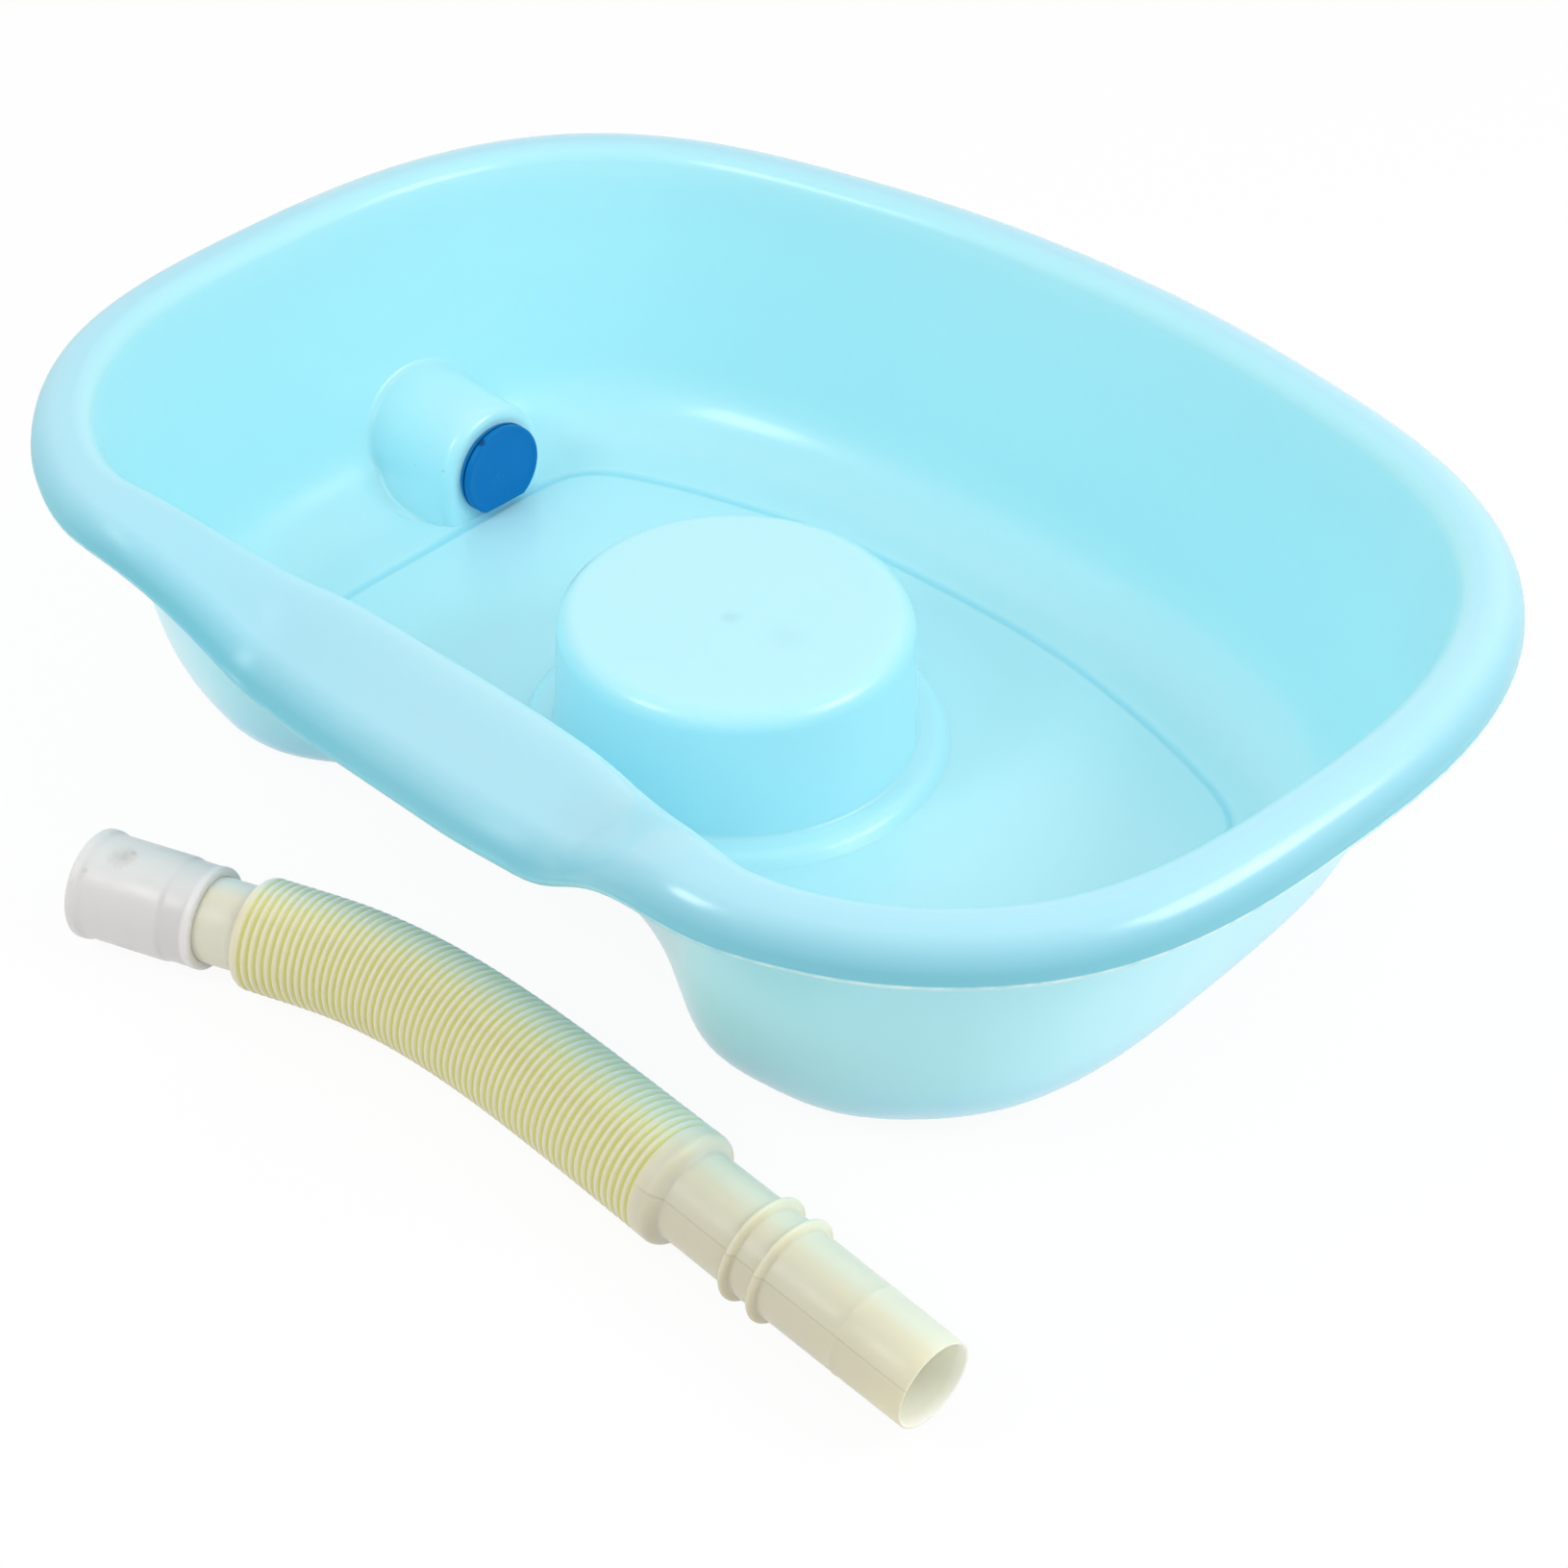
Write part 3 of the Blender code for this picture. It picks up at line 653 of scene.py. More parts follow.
# The sleeve's section: corners as (radius, place along it), from the socket round the outside.
def connectorProfile(k, neckRadius):
    end = k["length"]
    step = end - k["collarLength"]
    bead = end - k["beadWidth"]
    socketRadius = neckRadius + k["neckGap"]
    socketStart = end - k["socket"] - k["neckGap"]
    corners = (
        (socketRadius, end - 0.0040),
        (socketRadius, end),
        (k["beadRadius"], end),
        (k["beadRadius"], bead),
        (k["collarRadius"], bead - 0.0014),
        (k["collarRadius"], step + 0.0014),
        (k["radius"], step - 0.0004),
        (k["radius"], k["lipWidth"] + 0.0020),
        (k["lipRadius"], k["lipWidth"]),
        (k["lipRadius"], 0.0),
        (k["bore"], 0.0),
        (k["bore"], socketStart),
        (socketRadius, socketStart),
        (socketRadius, end - 0.0041),
    )
    radii = (
        0.00015, 0.0017, 0.0006, 0.0010, 0.0014, 0.0012,
        0.0016, 0.0008, 0.0009, 0.0006, 0.0004, 0.0004,
    )
    return roundCorners(corners, radii, 5)


def sleevePoint(k, along, towardsFront, up):
    forward = np.array(k["heading"][:2])
    beside = np.array([forward[1], -forward[0]])
    flat = np.array(hose["route"][1]) + forward * along + beside * towardsFront
    return (float(flat[0]), float(flat[1]), hose["axisHeight"] + up)


def milkyPlastic(k):
    parts = startMaterial("milkyPlastic", {
        "IOR": 1.49, "Subsurface Weight": 0.45, "Subsurface Scale": 0.005,
        "Subsurface Radius": (1.0, 1.0, 1.0),
    })
    _, tree, _, place = parts
    cloudy = remap(tree, scaledNoise(tree, place, *k["cloudNoise"]), 0.40, 0.75)
    color = mixColors(tree, times(tree, cloudy, 0.25), k["color"], k["cloud"])
    facingUp = facingOf(tree)["Z"]
    # Painted light: the faces looking up are painted paler and cooler.
    onTop = remap(tree, facingUp, 0.70, 1.0, 0.0, 0.6, smooth=True)
    color = mixColors(tree, onTop, color, k["paintedUpperLight"])
    # Painted light: the rim round the neck is painted as the palest part.
    fromStart = vectorStep(tree, "SUBTRACT", place, sleevePoint(k, 0, 0, 0))
    along = vectorStep(tree, "DOT_PRODUCT", fromStart, k["heading"])
    bead = k["length"] - k["beadWidth"]
    band = remap(tree, along, bead - 0.0010, bead + 0.0004)
    color = mixColors(tree, times(tree, band, 0.4), color, k["paintedEndLight"])
    # Painted shade: where the end of the hose's neck shows through the sleeve, a greyer band is
    # painted, less on the top.
    pastStart = remap(tree, along, *k["neckBandStart"])
    behind = times(tree, pastStart, remap(tree, along, *k["neckBandEnd"]))
    offTop = remap(tree, facingUp, 0.95, 0.65, 0.0, 0.30, smooth=True)
    color = mixColors(tree, times(tree, behind, offTop), color, k["neckShade"])
    for at, size, depth in k["smudges"]:
        grain = (420.0, 3.0, size * 0.7)
        fleck = raggedMark(tree, place, sleevePoint(k, *at), size, size * 0.25, grain)
        color = mixColors(tree, times(tree, fleck, depth), color, k["smudge"])
    return dressShader(k, parts, color)


sleeve = turnProfile(
    "hoseConnector", connectorProfile(connector, hose["neckRadius"]),
    sleevePoint(connector, 0, 0, 0), connector["heading"], connector["columns"],
    ring=True, sharpAngle=35,
)
sleeve.data.materials.append(milkyPlastic(connector))
print("connector made:", len(sleeve.data.polygons), "faces")


basin = {
    "rimHalfLength": 0.2566,
    "rimHalfDepth": 0.1829,
    "behindOrigin": 0.0025,
    "columnsPerSpan": 10,
    "wall": 0.0028,
    "rimHeight": 0.1274,
    "innerRoll": 0.0100,
    "lipRoll": 0.0145,
    "neckRoll": 0.0160,
    "draftDegrees": 18.0,
    "filletRise": 0.0345,
    "floorStep": 0.0005,
    "floorStepRun": 0.0056,
    "floorGroove": 0.0007,
    "lipBead": 0.0002,
    "lipSmoothing": 24,  # rounds that even out which way the lip turns
    "neckDip": 0.0234,
    "neckDipFromTo": (0.0675, 0.1475),
    "neckWidening": 0.0248,
    "neckWideningFromTo": (0.0300, 0.1829),
    "neckLean": 0.0085,
    "neckEdgeFromTo": (0.100, 0.200),
    "dullAt": (-0.150, 0.105, 0.150),  # middle, full to and gone from, along the front
    "sharpAngle": 42,
}

# Rows of the inner side: the rim ends at rimRows, and the straight wall starts at wallStart.
rimRows = 20
wallStart = 24

# Turn of the lip's rows in degrees, from the crest down to the cut edge.
lipTurns = (66, 58, 50, 41, 33, 25, 16, 8, 2.6, 1.8, 0.0)

# Half outlines from the back middle to the front middle, as shares of the rim's half sizes.
rimShares = (
    (0.0, 1.005), (0.236, 0.989), (0.467, 0.925), (0.708, 0.838), (0.890, 0.648),
    (0.980, 0.383), (1.007, 0.106), (0.995, -0.171), (0.980, -0.432), (0.926, -0.678),
    (0.821, -0.852), (0.703, -0.966), (0.564, -1.023), (0.432, -0.942), (0.291, -0.838),
    (0.0, -0.845),
)
wallFootShares = (
    (0.0, 0.789), (0.223, 0.794), (0.436, 0.766), (0.636, 0.668), (0.782, 0.517),
    (0.855, 0.326), (0.869, 0.092), (0.867, -0.164), (0.866, -0.400), (0.831, -0.615),
    (0.749, -0.738), (0.664, -0.807), (0.569, -0.829), (0.447, -0.887), (0.300, -0.683),
    (0.0, -0.609),
)
floorShares = (
    (0.0, 0.618), (0.212, 0.612), (0.394, 0.558), (0.560, 0.486), (0.689, 0.406),
    (0.713, 0.258), (0.704, 0.076), (0.702, -0.155), (0.699, -0.368), (0.678, -0.500),
    (0.651, -0.630), (0.604, -0.752), (0.507, -0.786), (0.398, -0.744), (0.276, -0.594),
    (0.0, -0.558),
)

pedestal = {
    "height": 0.0585,
    "topRadius": 0.0674,
    "draftShare": 0.057,  # the foot is wider by this share of the side's height
    "edgeRadius": 0.0085,
    "crown": 0.0006,
    "neckGap": 0.0030,
    "ledgeRadius": 0.0830,
    "ledgeHeight": 0.0050,
    "ledgeSlope": 0.0055,
    "ledgeFlare": 0.0008,
}

boss = {
    "pastFloorEnd": 0.0003,  # its front end, from the left end of the floor
    "behindMiddle": 0.0265,
    "height": 0.0228,
    "endRadius": 0.0262,
    "edgeRadius": 0.0045,
    "taperShare": 0.12,  # wider by this share of the way back
    "fall": 0.10,  # and lower by this share
    "flare": 0.0140,
    "flareDepth": 0.0350,
    "depth": 0.0700,
    "rootFillet": 0.0036,
    "footBelow": 0.0040,
    "wallFrom": 0.0038,  # the basin's wall is read above this height
    "pocketFoot": -0.0028,
    "boreRadius": 0.0135,
    "spigotRadius": 0.0158,
    "spigotLength": 0.0240,
    "spigotEdge": 0.0008,
    "archSteps": 40,
}


def outlineOf(shares, b):
    half = np.array(shares) * (b["rimHalfLength"], b["rimHalfDepth"])
    mirrored = half[-2:0:-1] * (-1.0, 1.0)
    loop = np.vstack([half, mirrored]) + (0.0, b["behindOrigin"])
    return splineLoop(loop, b["columnsPerSpan"])


def outwardOf(loop):
    along = unitRows(np.roll(loop, -1, axis=0) - np.roll(loop, 1, axis=0))
    return np.column_stack([-along[:, 1], along[:, 0]])


def fadeOut(distance, start, end, soft=False):
    t = np.clip((end - distance) / (end - start), 0, 1)
    return t ** 3 * (6 * t * t - 15 * t + 10) if soft else t * t * (3 - 2 * t)


def atHeight(loop, height):
    return np.column_stack([loop, np.broadcast_to(height, len(loop))])


# Rows of the basin's inner side, from the lip over the rim and down the wall to the floor.
def innerRows(b, rim, foot, floor):
    outward = outwardOf(rim)
    atFront = rim[:, 1] < 0
    across = abs(rim[:, 0])
    dip = fadeOut(across, *b["neckDipFromTo"], soft=True) * atFront
    wide = fadeOut(across, *b["neckWideningFromTo"]) * atFront
    top = b["rimHeight"] - b["neckDip"] * dip
    lipOutward = outward
    for _ in range(b["lipSmoothing"]):
        before, after = np.roll(lipOutward, 1, axis=0), np.roll(lipOutward, -1, axis=0)
        lipOutward = (before + 2 * lipOutward + after) / 4
    lipOutward = unitRows(lipOutward)
    # The lip rolls over in a wider curve at the neck rest, to the same depth.
    roll = b["lipRoll"] + b["neckRoll"] * dip
    lowest = np.arcsin(1 - b["lipRoll"] / roll)
    lipReach = b["neckWidening"] * wide + b["lipRoll"] - roll * np.cos(lowest)
    lipMiddle = rim + lipOutward * lipReach[:, None]
    lipTop = top - b["neckLean"] * dip
    crest = lipTurns[0]
    innerStart = 108

    def onLip(degrees):
        turn = lowest + (math.radians(crest) - lowest) * degrees / crest
        height = lipTop - roll * (1 - np.sin(turn))
        return np.column_stack([lipMiddle + lipOutward * (roll * np.cos(turn))[:, None], height])

    def onInner(degrees):
        turn = math.radians(degrees)
        height = top - b["innerRoll"] * (1 - math.sin(turn))
        return np.column_stack([rim + outward * b["innerRoll"] * math.cos(turn), height])

    rows = [onLip(degrees) for degrees in (0, 1.8, 2.6, *np.linspace(8, crest, 8))]
    for row in rows[:2]:
        row[:, :2] += lipOutward * b["lipBead"]
    # A smooth bridge over the top, between the lip's roll and the inner side's.
    start, end = onLip(crest), onInner(innerStart)
    reach = np.linalg.norm(end - start, axis=1)[:, None] / 3
    startAim = unitRows(onLip(crest + 1) - onLip(crest - 1))
    endAim = unitRows(onInner(innerStart + 1) - onInner(innerStart - 1))
    for t in np.linspace(0, 1, 8)[1:-1]:
        curve = (1 - t) ** 3 * start + 3 * t * (1 - t) ** 2 * (start + startAim * reach)
        rows.append(curve + 3 * t * t * (1 - t) * (end - endAim * reach) + t ** 3 * end)
    rows += [onInner(turn) for turn in np.linspace(innerStart, 180 - b["draftDegrees"], 7)]

    wallTop = rows[-1]
    filletTop = b["wall"] + b["filletRise"]
    for t in np.linspace(0, 1, 10)[1:]:
        height = wallTop[:, 2] + (filletTop - wallTop[:, 2]) * t
        lean = ((wallTop[:, 2] - height) / (wallTop[:, 2] - b["wall"]))[:, None]
        rows.append(np.column_stack([wallTop[:, :2] + (foot - wallTop[:, :2]) * lean, height]))
    start = rows[-1]
    corner = atHeight(foot, b["wall"])
    end = atHeight(floor, b["wall"] + b["floorStep"])
    rows += [curveTo(start, corner, end, t) for t in np.linspace(0, 1, 15)[1:]]
    for row in rows:
        row[:, 2] = np.minimum(row[:, 2], b["rimHeight"])
    return rows


def offsetRows(rows, distance):
    grid = np.stack(rows)
    around = np.roll(grid, -1, axis=1) - np.roll(grid, 1, axis=1)
    normal = unitRows(np.cross(around, np.gradient(grid, axis=0)))
    return list(grid + normal * distance), normal


# The pedestal with its ledge, as rows of the floor above, and the hollow under it.
def pedestalRows(b, p, floor):
    middle = np.array([0.0, floor[len(floor) // 2][1] + p["neckGap"] + p["ledgeRadius"]])
    rays = unitRows(floor - middle)
    ledge, ledgeHeight, edge = p["ledgeRadius"], p["ledgeHeight"], p["edgeRadius"]
    sideTop = p["height"] - edge
    sideHeight = sideTop - ledgeHeight
    footRadius = p["topRadius"] + sideHeight * p["draftShare"]
    corners = (
        (ledge + p["ledgeFlare"], 0.0),
        (ledge, 0.0),
        (ledge - 0.75 * p["ledgeSlope"], ledgeHeight),
        (footRadius, ledgeHeight),
        (p["topRadius"], sideTop + 0.0003),
    )
    profile = roundCorners(corners, (0.0022, 0.0034, 0.0018), 6)[:-1]
    for t in (0.25, 0.5, 0.75):
        radius = footRadius + (p["topRadius"] - footRadius) * t
        profile.append((radius, ledgeHeight + sideHeight * t))
    inner = p["topRadius"] - edge
    for degrees in np.linspace(0, 90, 13):
        turn = math.radians(degrees)
        profile.append((inner + edge * math.cos(turn), sideTop + edge * math.sin(turn)))
    for share in (0.85, 0.65, 0.45, 0.25, 0.1):
        profile.append((inner * share, p["height"] + p["crown"] * (1 - share)))
    upper = [atHeight(middle + rays * radius, b["wall"] + height) for radius, height in profile]
    upperPole = (*middle, b["wall"] + p["height"] + p["crown"])

    w = b["wall"]
    lower = [
        (ledge - 0.45 * w, 0.0),
        (ledge - p["ledgeSlope"] - 0.3 * w, ledgeHeight),
        (footRadius - w, ledgeHeight + 0.0004),
        (p["topRadius"] - w, sideTop),
    ]
    rounded = edge - w
    for degrees in (22, 45, 67, 90):
        turn = math.radians(degrees)
        height = sideTop + w + rounded * math.sin(turn) - w
        lower.append((inner + rounded * math.cos(turn), height))
    lower.append((inner * 0.4, p["height"] - w + 0.5 * p["crown"]))
    under = []
    for radius, height in lower:
        lift = w if height > sideTop else 0.0
        under.append(atHeight(middle + rays * radius, height + lift))
    underPole = (*middle, p["height"] + p["crown"])
    return upper, upperPole, under, underPole


def basinShell(b, p):
    rim = outlineOf(rimShares, b)
    foot = outlineOf(wallFootShares, b)
    floor = outlineOf(floorShares, b)
    inner = innerRows(b, rim, foot, floor)
    outer, normal = offsetRows(inner, b["wall"])
    down = unitRows(inner[0] - inner[1])
    half = normal[0] * b["wall"] / 2
    edge = []
    for degrees in (30, 60, 90, 120, 150):
        turn = math.radians(degrees)
        rounded = down * b["wall"] / 2 * math.sin(turn)
        edge.append(inner[0] + half - half * math.cos(turn) + rounded)
    upper, upperPole, under, underPole = pedestalRows(b, p, floor)
    # The floor's shallow step and groove narrow where the pedestal is near.
    fromMiddle = np.linalg.norm(floor - np.array(upperPole[:2]), axis=1)
    fromPedestal = fromMiddle - p["ledgeRadius"] - p["ledgeFlare"]
    inward = outwardOf(floor) * -np.minimum(b["floorStepRun"], fromPedestal / 1.3)[:, None]
    step = []
    shares = np.linspace(0, 1, 9)[1:]
    for t in shares:
        fall = 1 - t * t * (3 - 2 * t)
        dent = b["floorGroove"] * math.sin(math.pi * t) ** 2
        step.append(atHeight(floor + inward * t, b["wall"] + b["floorStep"] * fall - dent))
    step += [atHeight(floor + inward * t, b["wall"]) for t in (1.1, 1.2)]
    between = [step[-1] + (upper[0] - step[-1]) * t for t in (0.33, 0.67)]
    outerEdge = atHeight(floor + inward, 0.0)
    rows = [row for part in (upper, between, step, inner) for row in reversed(part)]
    lipRow = len(rows) - 1
    rows += edge + outer + [outerEdge] + under
    shell = skinRows("basinShell", rows, upperPole, underPole, sharpAngle=b["sharpAngle"])

    # What the plastic reads: the lip's cut edge and side, the rim and the line round the floor.
    onEdge, onSide, onRim, inLine = (np.zeros((len(rows), len(rim))) for _ in range(4))
    atFront = rim[:, 1] < 0
    plainEdge = fadeOut(abs(rim[:, 0]), *b["neckEdgeFromTo"]) * atFront
    onEdge[lipRow - 1:lipRow + 3] = 1 - 0.9 * plainEdge
    inLine[len(upper) + 4:len(upper) + 2 + len(step)] = np.sin(math.pi * shares[::-1])[:, None]
    rising = np.clip(np.arange(rimRows + 1) / 4, 0, 1)
    onRim[lipRow - rimRows:lipRow + 1] = rising[:, None]
    turned = np.clip((lipTurns[0] - np.array(lipTurns)) / 50, 0, 1)
    onSide[lipRow + 1 - len(lipTurns):lipRow + 1] = turned[:, None]
    onSide[lipRow + 1:lipRow + 4] = plainEdge
    # Handling has dulled the rim by the left end of the neck rest.
    dullMiddle, dullFull, dullGone = b["dullAt"]
    dulled = onRim * fadeOut(abs(rim[:, 0] - dullMiddle), dullFull, dullGone) * atFront
    facts = {"lipEdge": onEdge, "lipSideShade": onSide, "onRim": onRim, "floorLineShade": inLine}
    for name, values in (*facts.items(), ("dulled", dulled)):
        storeNumbers(shell, name, np.append(values.ravel(), (0.0, 0.0)))
    return shell, inner, floor


# The inner wall on the left, short of its corners, as a height field: x for a place (y, z).
def leftWallReader(inner):
    grid = np.stack(inner[wallStart - 2:])
    left = [c for c, (x, y, _) in enumerate(grid[0]) if x < -0.15 and abs(y) < 0.13]
    columns = grid[::-1, left]

    def wallAt(y, z):
        xs = []
        ys = []
        for c in range(columns.shape[1]):
            xs.append(np.interp(z, columns[:, c, 2], columns[:, c, 0]))
            ys.append(np.interp(z, columns[:, c, 2], columns[:, c, 1]))
        order = np.argsort(ys)
        return float(np.interp(y, np.array(ys)[order], np.array(xs)[order]))

    return wallAt


# The boss's outline as (point, outward direction) in y and z: a leg, an arch and a leg.
def archColumns(k):
    middle, foot = k["behindMiddle"], -k["footBelow"]
    leg = [(middle, foot + (k["height"] - foot) * t) for t in np.linspace(0.0, 1.0, 9)[:-1]]
    columns = [(point, (1.0, 0.0)) for point in leg]
    for step in range(k["archSteps"] + 1):
        turn = math.pi * step / k["archSteps"]
        columns.append(((middle, k["height"]), (math.cos(turn), math.sin(turn))))
    return columns + [(point, (-1.0, 0.0)) for point in reversed(leg)]


def bossEnd(k, floor):
    left = floor[floor[:, 0] < 0]
    left = left[np.argsort(left[:, 1])]
    return float(np.interp(k["behindMiddle"], left[:, 1], left[:, 0])) + k["pastFloorEnd"]


# The boss grows wider from its round front end back to the basin's wall, with a fillet there.
def bossBlock(k, inner, end):
    wallAt = leftWallReader(inner)
    edge, taper = k["edgeRadius"], k["taperShare"]
    perColumn = []
    for (y, z), (outY, outZ) in archColumns(k):
        def side(depth):
            flare = k["flare"] * min(depth / k["flareDepth"], 1) * (1 - max(z, 0) / k["height"])
            radius = k["endRadius"] + depth * taper + flare
            return np.array([end - depth, y + outY * radius, z + outZ * radius - k["fall"] * depth])

        # The depth at which this column meets the wall, found by stepping towards it.
        depth = 0.02
        for _ in range(14):
            point = side(depth)
            depth = max(end - wallAt(point[1], max(point[2], k["wallFrom"])), 0.0)
        depth = max(depth, edge + 0.0005)
        fillet = min(k["rootFillet"], 0.9 * (depth - edge))
        flat = k["endRadius"] - edge
        line = []
        for degrees in (90, 76, 62, 48, 34, 20, 8, 0):
            turn = math.radians(degrees)
            radius = flat + edge * math.cos(turn) + edge * (1 - math.sin(turn)) * taper
            x = end + edge * (math.sin(turn) - 1)
            line.append(np.array([x, y + outY * radius, z + outZ * radius]))
        for t in (0.25, 0.5, 0.75, 1.0):
            line.append(side(edge + (depth - fillet - edge) * t))
        start, corner = side(depth - fillet), side(depth)
        reach = corner[1:] + np.array([outY, outZ]) * fillet
        tipHeight = reach[1] - k["fall"] * (k["depth"] - depth)
        last = np.array([wallAt(reach[0], max(reach[1], k["wallFrom"])) - 0.0002, *reach])
        line += [curveTo(start, corner, last, t) for t in (0.15, 0.3, 0.45, 0.6, 0.75, 0.9, 1.0)]
        line.append(np.array([end - k["depth"], reach[0], tipHeight]))
        perColumn.append(line)
    rows = [[line[r] for line in perColumn] for r in range(len(perColumn[0]))]
    return skinRows("bossBlock", rows, capped=True)


def archBlock(name, k, end, stations, below):
    middle = k["behindMiddle"]
    rows = []
    for place, radius in stations:
        row = [(end + place, middle + radius, below)]
        for step in range(k["archSteps"] + 1):
            turn = math.pi * step / k["archSteps"]
            height = k["height"] + k["fall"] * place + radius * math.sin(turn)
            row.append((end + place, middle + radius * math.cos(turn), height))
        row.append((end + place, middle - radius, below))
        rows.append(row)
    return skinRows(name, rows, capped=True)


def buildBasin(b, p, k):
    shell, inner, floor = basinShell(b, p)
    end = bossEnd(k, floor)
    middleRows, _ = offsetRows(inner[wallStart:], b["wall"] / 2)
    envelope = skinRows("envelope", middleRows, capped=True)
    block = bossBlock(k, inner, end)
    cutWith(block, envelope, "INTERSECT")
    wall = b["wall"]
    pocket = archBlock("pocket", k, end, (
        (-k["depth"], k["endRadius"] + k["depth"] * k["taperShare"] - wall),
        (-wall, k["endRadius"] + wall * k["taperShare"] - wall),
    ), k["pocketFoot"])
    drain = (end, k["behindMiddle"], k["height"])
    spigotEnd = -wall - k["spigotLength"]
    spigot = turnProfile("spigot", [
        (0, -wall / 2), (k["spigotRadius"], -wall / 2),
        (k["spigotRadius"], spigotEnd + k["spigotEdge"]),
        (k["spigotRadius"] - k["spigotEdge"], spigotEnd), (0, spigotEnd),
    ], drain, (1, 0, 0), 64)
    boreEnd = -2 * wall - k["spigotLength"]
    bore = turnProfile("bore", [
        (0, wall), (k["boreRadius"], wall), (k["boreRadius"], boreEnd), (0, boreEnd),
    ], drain, (1, 0, 0), 64)
    for cutter, operation in (
        (block, "UNION"), (pocket, "DIFFERENCE"), (spigot, "UNION"), (bore, "DIFFERENCE"),
    ):
        cutWith(shell, cutter, operation)
    bakeModifiers(shell)
    dropObjects(envelope, block, pocket, spigot, bore)
    shell.data.shade_smooth()
    shell.data.set_sharp_from_angle(angle=math.radians(b["sharpAngle"]))
    return shell, drain


basinColors = {
    "body": (0.495, 0.880, 0.988),
    "cloud": (0.520, 0.888, 0.988),
    "rim": (0.425, 0.755, 0.865),
    "floorLineShade": (0.27, 0.76, 0.93),
    "lipSideShade": (0.15, 0.54, 0.64),
    "lipEdge": (0.66, 0.88, 0.87),
    "paintedUnderShade": (0.40, 0.79, 0.92),
    "paintedLeftLight": (0.60, 0.94, 0.99),
    "roughness": (0.31, 0.38),
    "polish": (0.50, 0.60),
    "boss": (0.51, 0.89, 0.988),
    "bossFromTo": (0.048, 0.030),
    "waves": (9.0, 0.0, 0.0004, 0.10),
    "grain": (380.0, 0.0, 0.000006, 0.10),
    "mark": (0.33, 0.60, 0.66),
    # (place, size, strength): the gate mark on the pedestal, a smudge beside it and three nicks
    "marks": (
        ((0.0036, -0.0223, 0.0620), 0.0064, 0.33),
        ((0.0266, -0.0175, 0.0618), 0.0140, 0.16),
        ((0.0960, 0.1580, 0.0890), 0.0016, 0.40),
        ((-0.1848, 0.0011, 0.0303), 0.0011, 0.90),
        ((-0.1999, -0.0013, 0.0275), 0.0009, 0.60),
    ),
}


def blueBasinPlastic(k, drain):
    parts = startMaterial("paleBluePlastic", {
        "IOR": 1.49, "Subsurface Weight": 0.60, "Subsurface Scale": 0.004,
        "Subsurface Radius": (0.8, 1.0, 1.0), "Coat Roughness": 0.17, "Coat IOR": 1.5,
    })
    _, tree, shader, place = parts
    broad = remap(tree, scaledNoise(tree, place, 6.0, 1.0), 0.3, 0.7)
    color = mixColors(tree, times(tree, broad, 0.4), k["body"], k["cloud"])
    # Painted shade: the faces looking down are painted a little deeper; painted light: on the left
    # they are paler, as light comes through the thin wall there.
    facing = facingOf(tree)
    leftward = remap(tree, facing["X"], -0.10, -0.70, smooth=True)
    under = mixColors(tree, leftward, k["paintedUnderShade"], k["paintedLeftLight"])
    downward = remap(tree, facing["Z"], -0.05, -0.35, smooth=True)
    color = mixColors(tree, downward, color, under)
    # Light comes through the boss round the drain more than through the wall.
    fromBoss = vectorStep(tree, "DISTANCE", place, (drain[0] - 0.012, drain[1], drain[2]))
    nearBoss = remap(tree, fromBoss, *k["bossFromTo"], smooth=True)
    color = mixColors(tree, nearBoss, color, k["boss"])
    # Painted shade: the rim is painted darker than the body, its turned-down side darker still and
    # the line round the floor darker. The lip's cut edge is paler and nicked.
    onRim = readAttribute(tree, "onRim")
    color = mixColors(tree, onRim, color, k["rim"])
    for name, strength in (("lipSideShade", 0.85), ("floorLineShade", 0.66)):
        color = mixColors(tree, times(tree, readAttribute(tree, name), strength), color, k[name])
    nicked = remap(tree, scaledNoise(tree, place, 150.0, 3.0), 0.35, 0.60, 0.45, 0.95)
    onEdge = times(tree, readAttribute(tree, "lipEdge"), nicked)
    color = mixColors(tree, onEdge, color, k["lipEdge"])
    for spot, size, depth in k["marks"]:
        grain = (260.0, 2.0, size * 0.5)
        mark = raggedMark(tree, place, spot, size * 1.2, size * 0.2, grain, smooth=True)
        color = mixColors(tree, times(tree, mark, depth), color, k["mark"])
    rubbed = remap(tree, scaledNoise(tree, place, 9.0, 2.0), 0.35, 0.70, *k["roughness"])
    polish = remap(tree, onRim, 0.0, 1.0, *k["polish"])
    kept = remap(tree, readAttribute(tree, "dulled"), 0.0, 1.0, 1.0, 0.0)
    wire(tree, times(tree, polish, kept), shader.inputs["Coat Weight"])
    return dressShader(k, parts, color, rubbed)


shell, drainPlace = buildBasin(basin, pedestal, boss)
shell.data.materials.clear()
shell.data.materials.append(blueBasinPlastic(basinColors, drainPlace))
print("basin made:", len(shell.data.polygons), "faces")


plug = {
    "radius": 0.0201,
    "thickness": 0.0050,
    "flatDrop": 0.0168,
    "stemLength": 0.0100,
    "stemTaper": 0.0006,
    "gap": 0.0003,
    "columns": 120,
    "color": (0.0, 0.178, 0.480),
    "grooveShadeAndMark": (0.0, 0.045, 0.16),
    "dustColor": (0.02, 0.23, 0.56),
    "scuffColor": (0.10, 0.36, 0.66),
    "scuffAt": (0.005, -0.002, -0.003),  # from the middle of the drain
    "markAt": (0.0035, -0.0098, 0.0176),
    "roughness": (0.38, 0.52),
    "waves": (120.0, 2.0, 0.0002, 0.3),
    "grain": (1500.0, 3.0, 0.00004, 0.35),
}


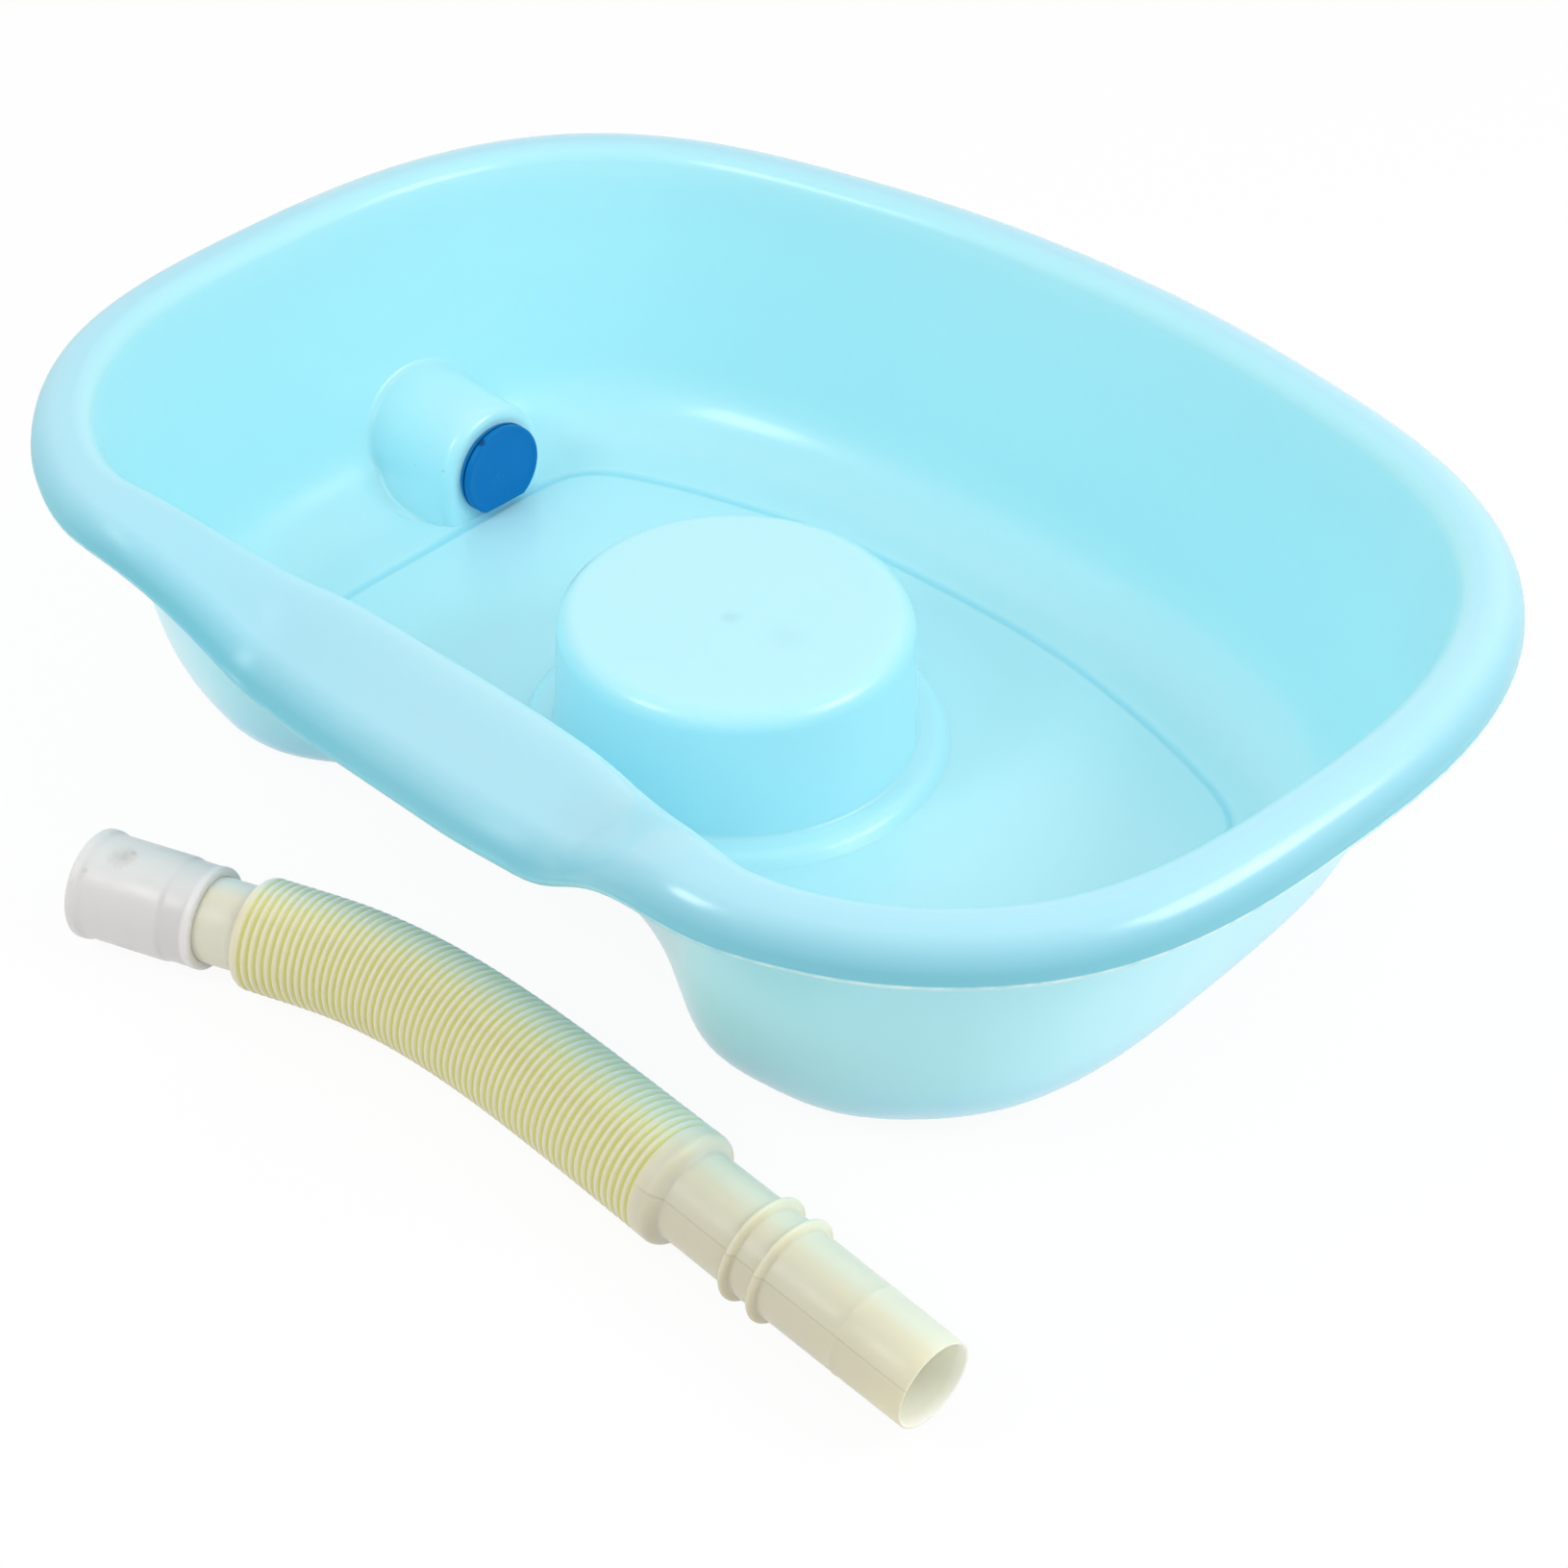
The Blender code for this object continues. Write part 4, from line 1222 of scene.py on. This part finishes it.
def buildPlug(g, k, drain):
    stem = k["boreRadius"] - g["gap"]
    back = g["gap"]
    front = back + g["thickness"]
    # (inset from the flange's outline, place along the axis), from the face to the back
    flange = [
        (0.0060, front - 0.0003), (0.0026, front - 0.0003), (0.0021, front - 0.0001),
        (0.0017, front), (0.0008, front), (0.0003, front - 0.0002), (0.0001, front - 0.0005),
        (0.0001, back + 0.0025), (0.0007, back + 0.0022), (0.0007, back + 0.0018),
        (0.0, back + 0.0015), (0.0, back + 0.0006), (0.0003, back + 0.0001), (0.0007, back),
    ]
    turns = [2 * math.pi * step / g["columns"] for step in range(g["columns"])]
    rows = []

    def addRow(along, radiusAt):
        row = []
        for turn in turns:
            radius = radiusAt(turn)
            flat = drain[1] + radius * math.sin(turn)
            row.append((drain[0] + along, flat, drain[2] - radius * math.cos(turn)))
        rows.append(row)

    # The flange is round, with a flat at its foot.
    def flangeRadius(inset):
        def radiusAt(turn):
            down = math.cos(turn)
            full = g["radius"] - inset
            return min(full, (g["flatDrop"] - inset) / down) if down > 0.3 else full
        return radiusAt

    for inset, along in flange:
        addRow(along, flangeRadius(inset))
    addRow(back, lambda turn: stem + 0.0004)
    for t in (0.0, 0.5, 1.0):
        along = back - 0.0004 - (g["stemLength"] - 0.0010) * t
        addRow(along, lambda turn, t=t: stem - g["stemTaper"] * t)
    addRow(back - g["stemLength"], lambda turn: stem - g["stemTaper"] - 0.0006)
    frontPole = (drain[0] + front - 0.0003, drain[1], drain[2])
    backPole = (drain[0] + back - g["stemLength"], drain[1], drain[2])
    return skinRows("drainPlug", rows, frontPole, backPole, sharpAngle=40)


def blueRubber(g, drain):
    parts = startMaterial("blueRubber", {"IOR": 1.5, "Specular IOR Level": 0.12})
    _, tree, _, place = parts

    def fromPlace(offset):
        return vectorStep(tree, "DISTANCE", place, tuple(d + o for d, o in zip(drain, offset)))

    dusty = remap(tree, scaledNoise(tree, place, 160.0, 5.0, 0.7), 0.48, 0.80)
    color = mixColors(tree, times(tree, dusty, 0.16), g["color"], g["dustColor"])
    rough = remap(tree, scaledNoise(tree, place, 700.0, 4.0, 0.7), 0.52, 0.70)
    scuffed = times(tree, remap(tree, fromPlace(g["scuffAt"]), 0.0045, 0.001), rough)
    color = mixColors(tree, times(tree, scuffed, 0.35), color, g["scuffColor"])
    # Dark lines: painted shade in the groove round the flange's edge, and one small dark mark.
    split = addNode(tree, "ShaderNodeSeparateXYZ")
    wire(tree, place, split.inputs[0])
    fromGroove = apart(tree, split.outputs["X"], drain[0] + g["gap"] + 0.0020)
    inGroove = remap(tree, fromGroove, 0.0006, 0.0002)
    inMark = remap(tree, fromPlace(g["markAt"]), 0.0022, 0.0012)
    dark = times(tree, larger(tree, inGroove, inMark), 0.8)
    color = mixColors(tree, dark, color, g["grooveShadeAndMark"])
    return dressShader(g, parts, color, remap(tree, dusty, 0.0, 1.0, *g["roughness"]))


stopper = buildPlug(plug, boss, drainPlace)
stopper.data.materials.append(blueRubber(plug, drainPlace))
print("plug made:", len(stopper.data.polygons), "faces")


light = {
    "sky": 0.86,
    "horizon": 0.58,
    "skyLean": (-0.10, 0.15, 0.85),
    "floorColor": (0.94, 0.94, 0.94),
    "floorWhite": 0.93,
    "floorReach": 4.0,
    "floorDrop": 0.0002,
    "lamps": (
        # name, place, aim, width, depth, watts
        ("rightBox", (0.90, 0.36, 0.75), (0.0, 0.0, 0.05), 0.60, 0.34, 4.3),
        ("leftBox", (-0.31, -0.96, 0.93), (0.0, 0.0, 0.05), 0.36, 0.34, 2.9),
    ),
}


# Full where the camera, a gloss or a clear surface sees it, and nothing where it only lights.
def onlySeen(tree):
    path = addNode(tree, "ShaderNodeLightPath").outputs
    seen = larger(tree, path["Is Camera Ray"], path["Is Glossy Ray"])
    return larger(tree, seen, path["Is Transmission Ray"])


def lightWorld(s):
    world = bpy.data.worlds.new("studio")
    scene.world = world
    world.use_nodes = True
    tree = world.node_tree
    back = tree.nodes["Background"]
    back.inputs["Color"].default_value = (1.0, 1.0, 1.0, 1.0)
    aim = addNode(tree, "ShaderNodeTexCoord").outputs["Generated"]
    lift = vectorStep(tree, "DOT_PRODUCT", aim, s["skyLean"])
    lit = remap(tree, lift, 0.05, 0.75, s["horizon"], s["sky"], smooth=True)
    seen = onlySeen(tree)
    unseen = times(tree, lit, minus(tree, 1.0, seen))
    wire(tree, plus(tree, unseen, seen), back.inputs["Strength"])


def layFloor(s):
    mesh = bpy.data.meshes.new("studioFloor")
    reach, drop = s["floorReach"], s["floorDrop"]
    corners = ((-reach, -reach), (reach, -reach), (reach, reach), (-reach, reach))
    mesh.from_pydata([(x, y, -drop) for x, y in corners], [], [(0, 1, 2, 3)])
    floor = bpy.data.objects.new("studioFloor", mesh)
    scene.collection.objects.link(floor)
    material, tree, shader, _ = startMaterial("paleFloor", {
        "Base Color": (*s["floorColor"], 1.0), "Roughness": 0.9, "Specular IOR Level": 0.0,
    })
    glow = addNode(tree, "ShaderNodeEmission")
    mix = addNode(tree, "ShaderNodeMixShader")
    out = tree.nodes["Material Output"]
    wire(
        tree,
        times(tree, onlySeen(tree), s["floorWhite"]), mix.inputs[0],
        shader.outputs[0], mix.inputs[1],
        glow.outputs[0], mix.inputs[2],
        mix.outputs[0], out.inputs["Surface"],
    )
    mesh.materials.append(material)


def hangLamps(s):
    for name, place, aim, width, depth, watts in s["lamps"]:
        data = bpy.data.lights.new(name, "AREA")
        data.shape = "RECTANGLE"
        data.size = width
        data.size_y = depth
        data.energy = watts
        lamp = bpy.data.objects.new(name, data)
        lamp.location = place
        towards = Vector(aim) - Vector(place)
        lamp.rotation_euler = towards.to_track_quat("-Z", "Y").to_euler()
        scene.collection.objects.link(lamp)


lightWorld(light)
layFloor(light)
hangLamps(light)
print("floor and light set")


for piece, node, body in (
    (shell, "basin_shell", "basin"), (stopper, "drain_plug", "plug"),
    (hoseTube, "drain_hose", "hose"), (sleeve, "hose_connector", "connector"),
):
    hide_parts(node)
    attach(piece, body)

route = hoseRoute(hose)

print("pieces joined to the frame")
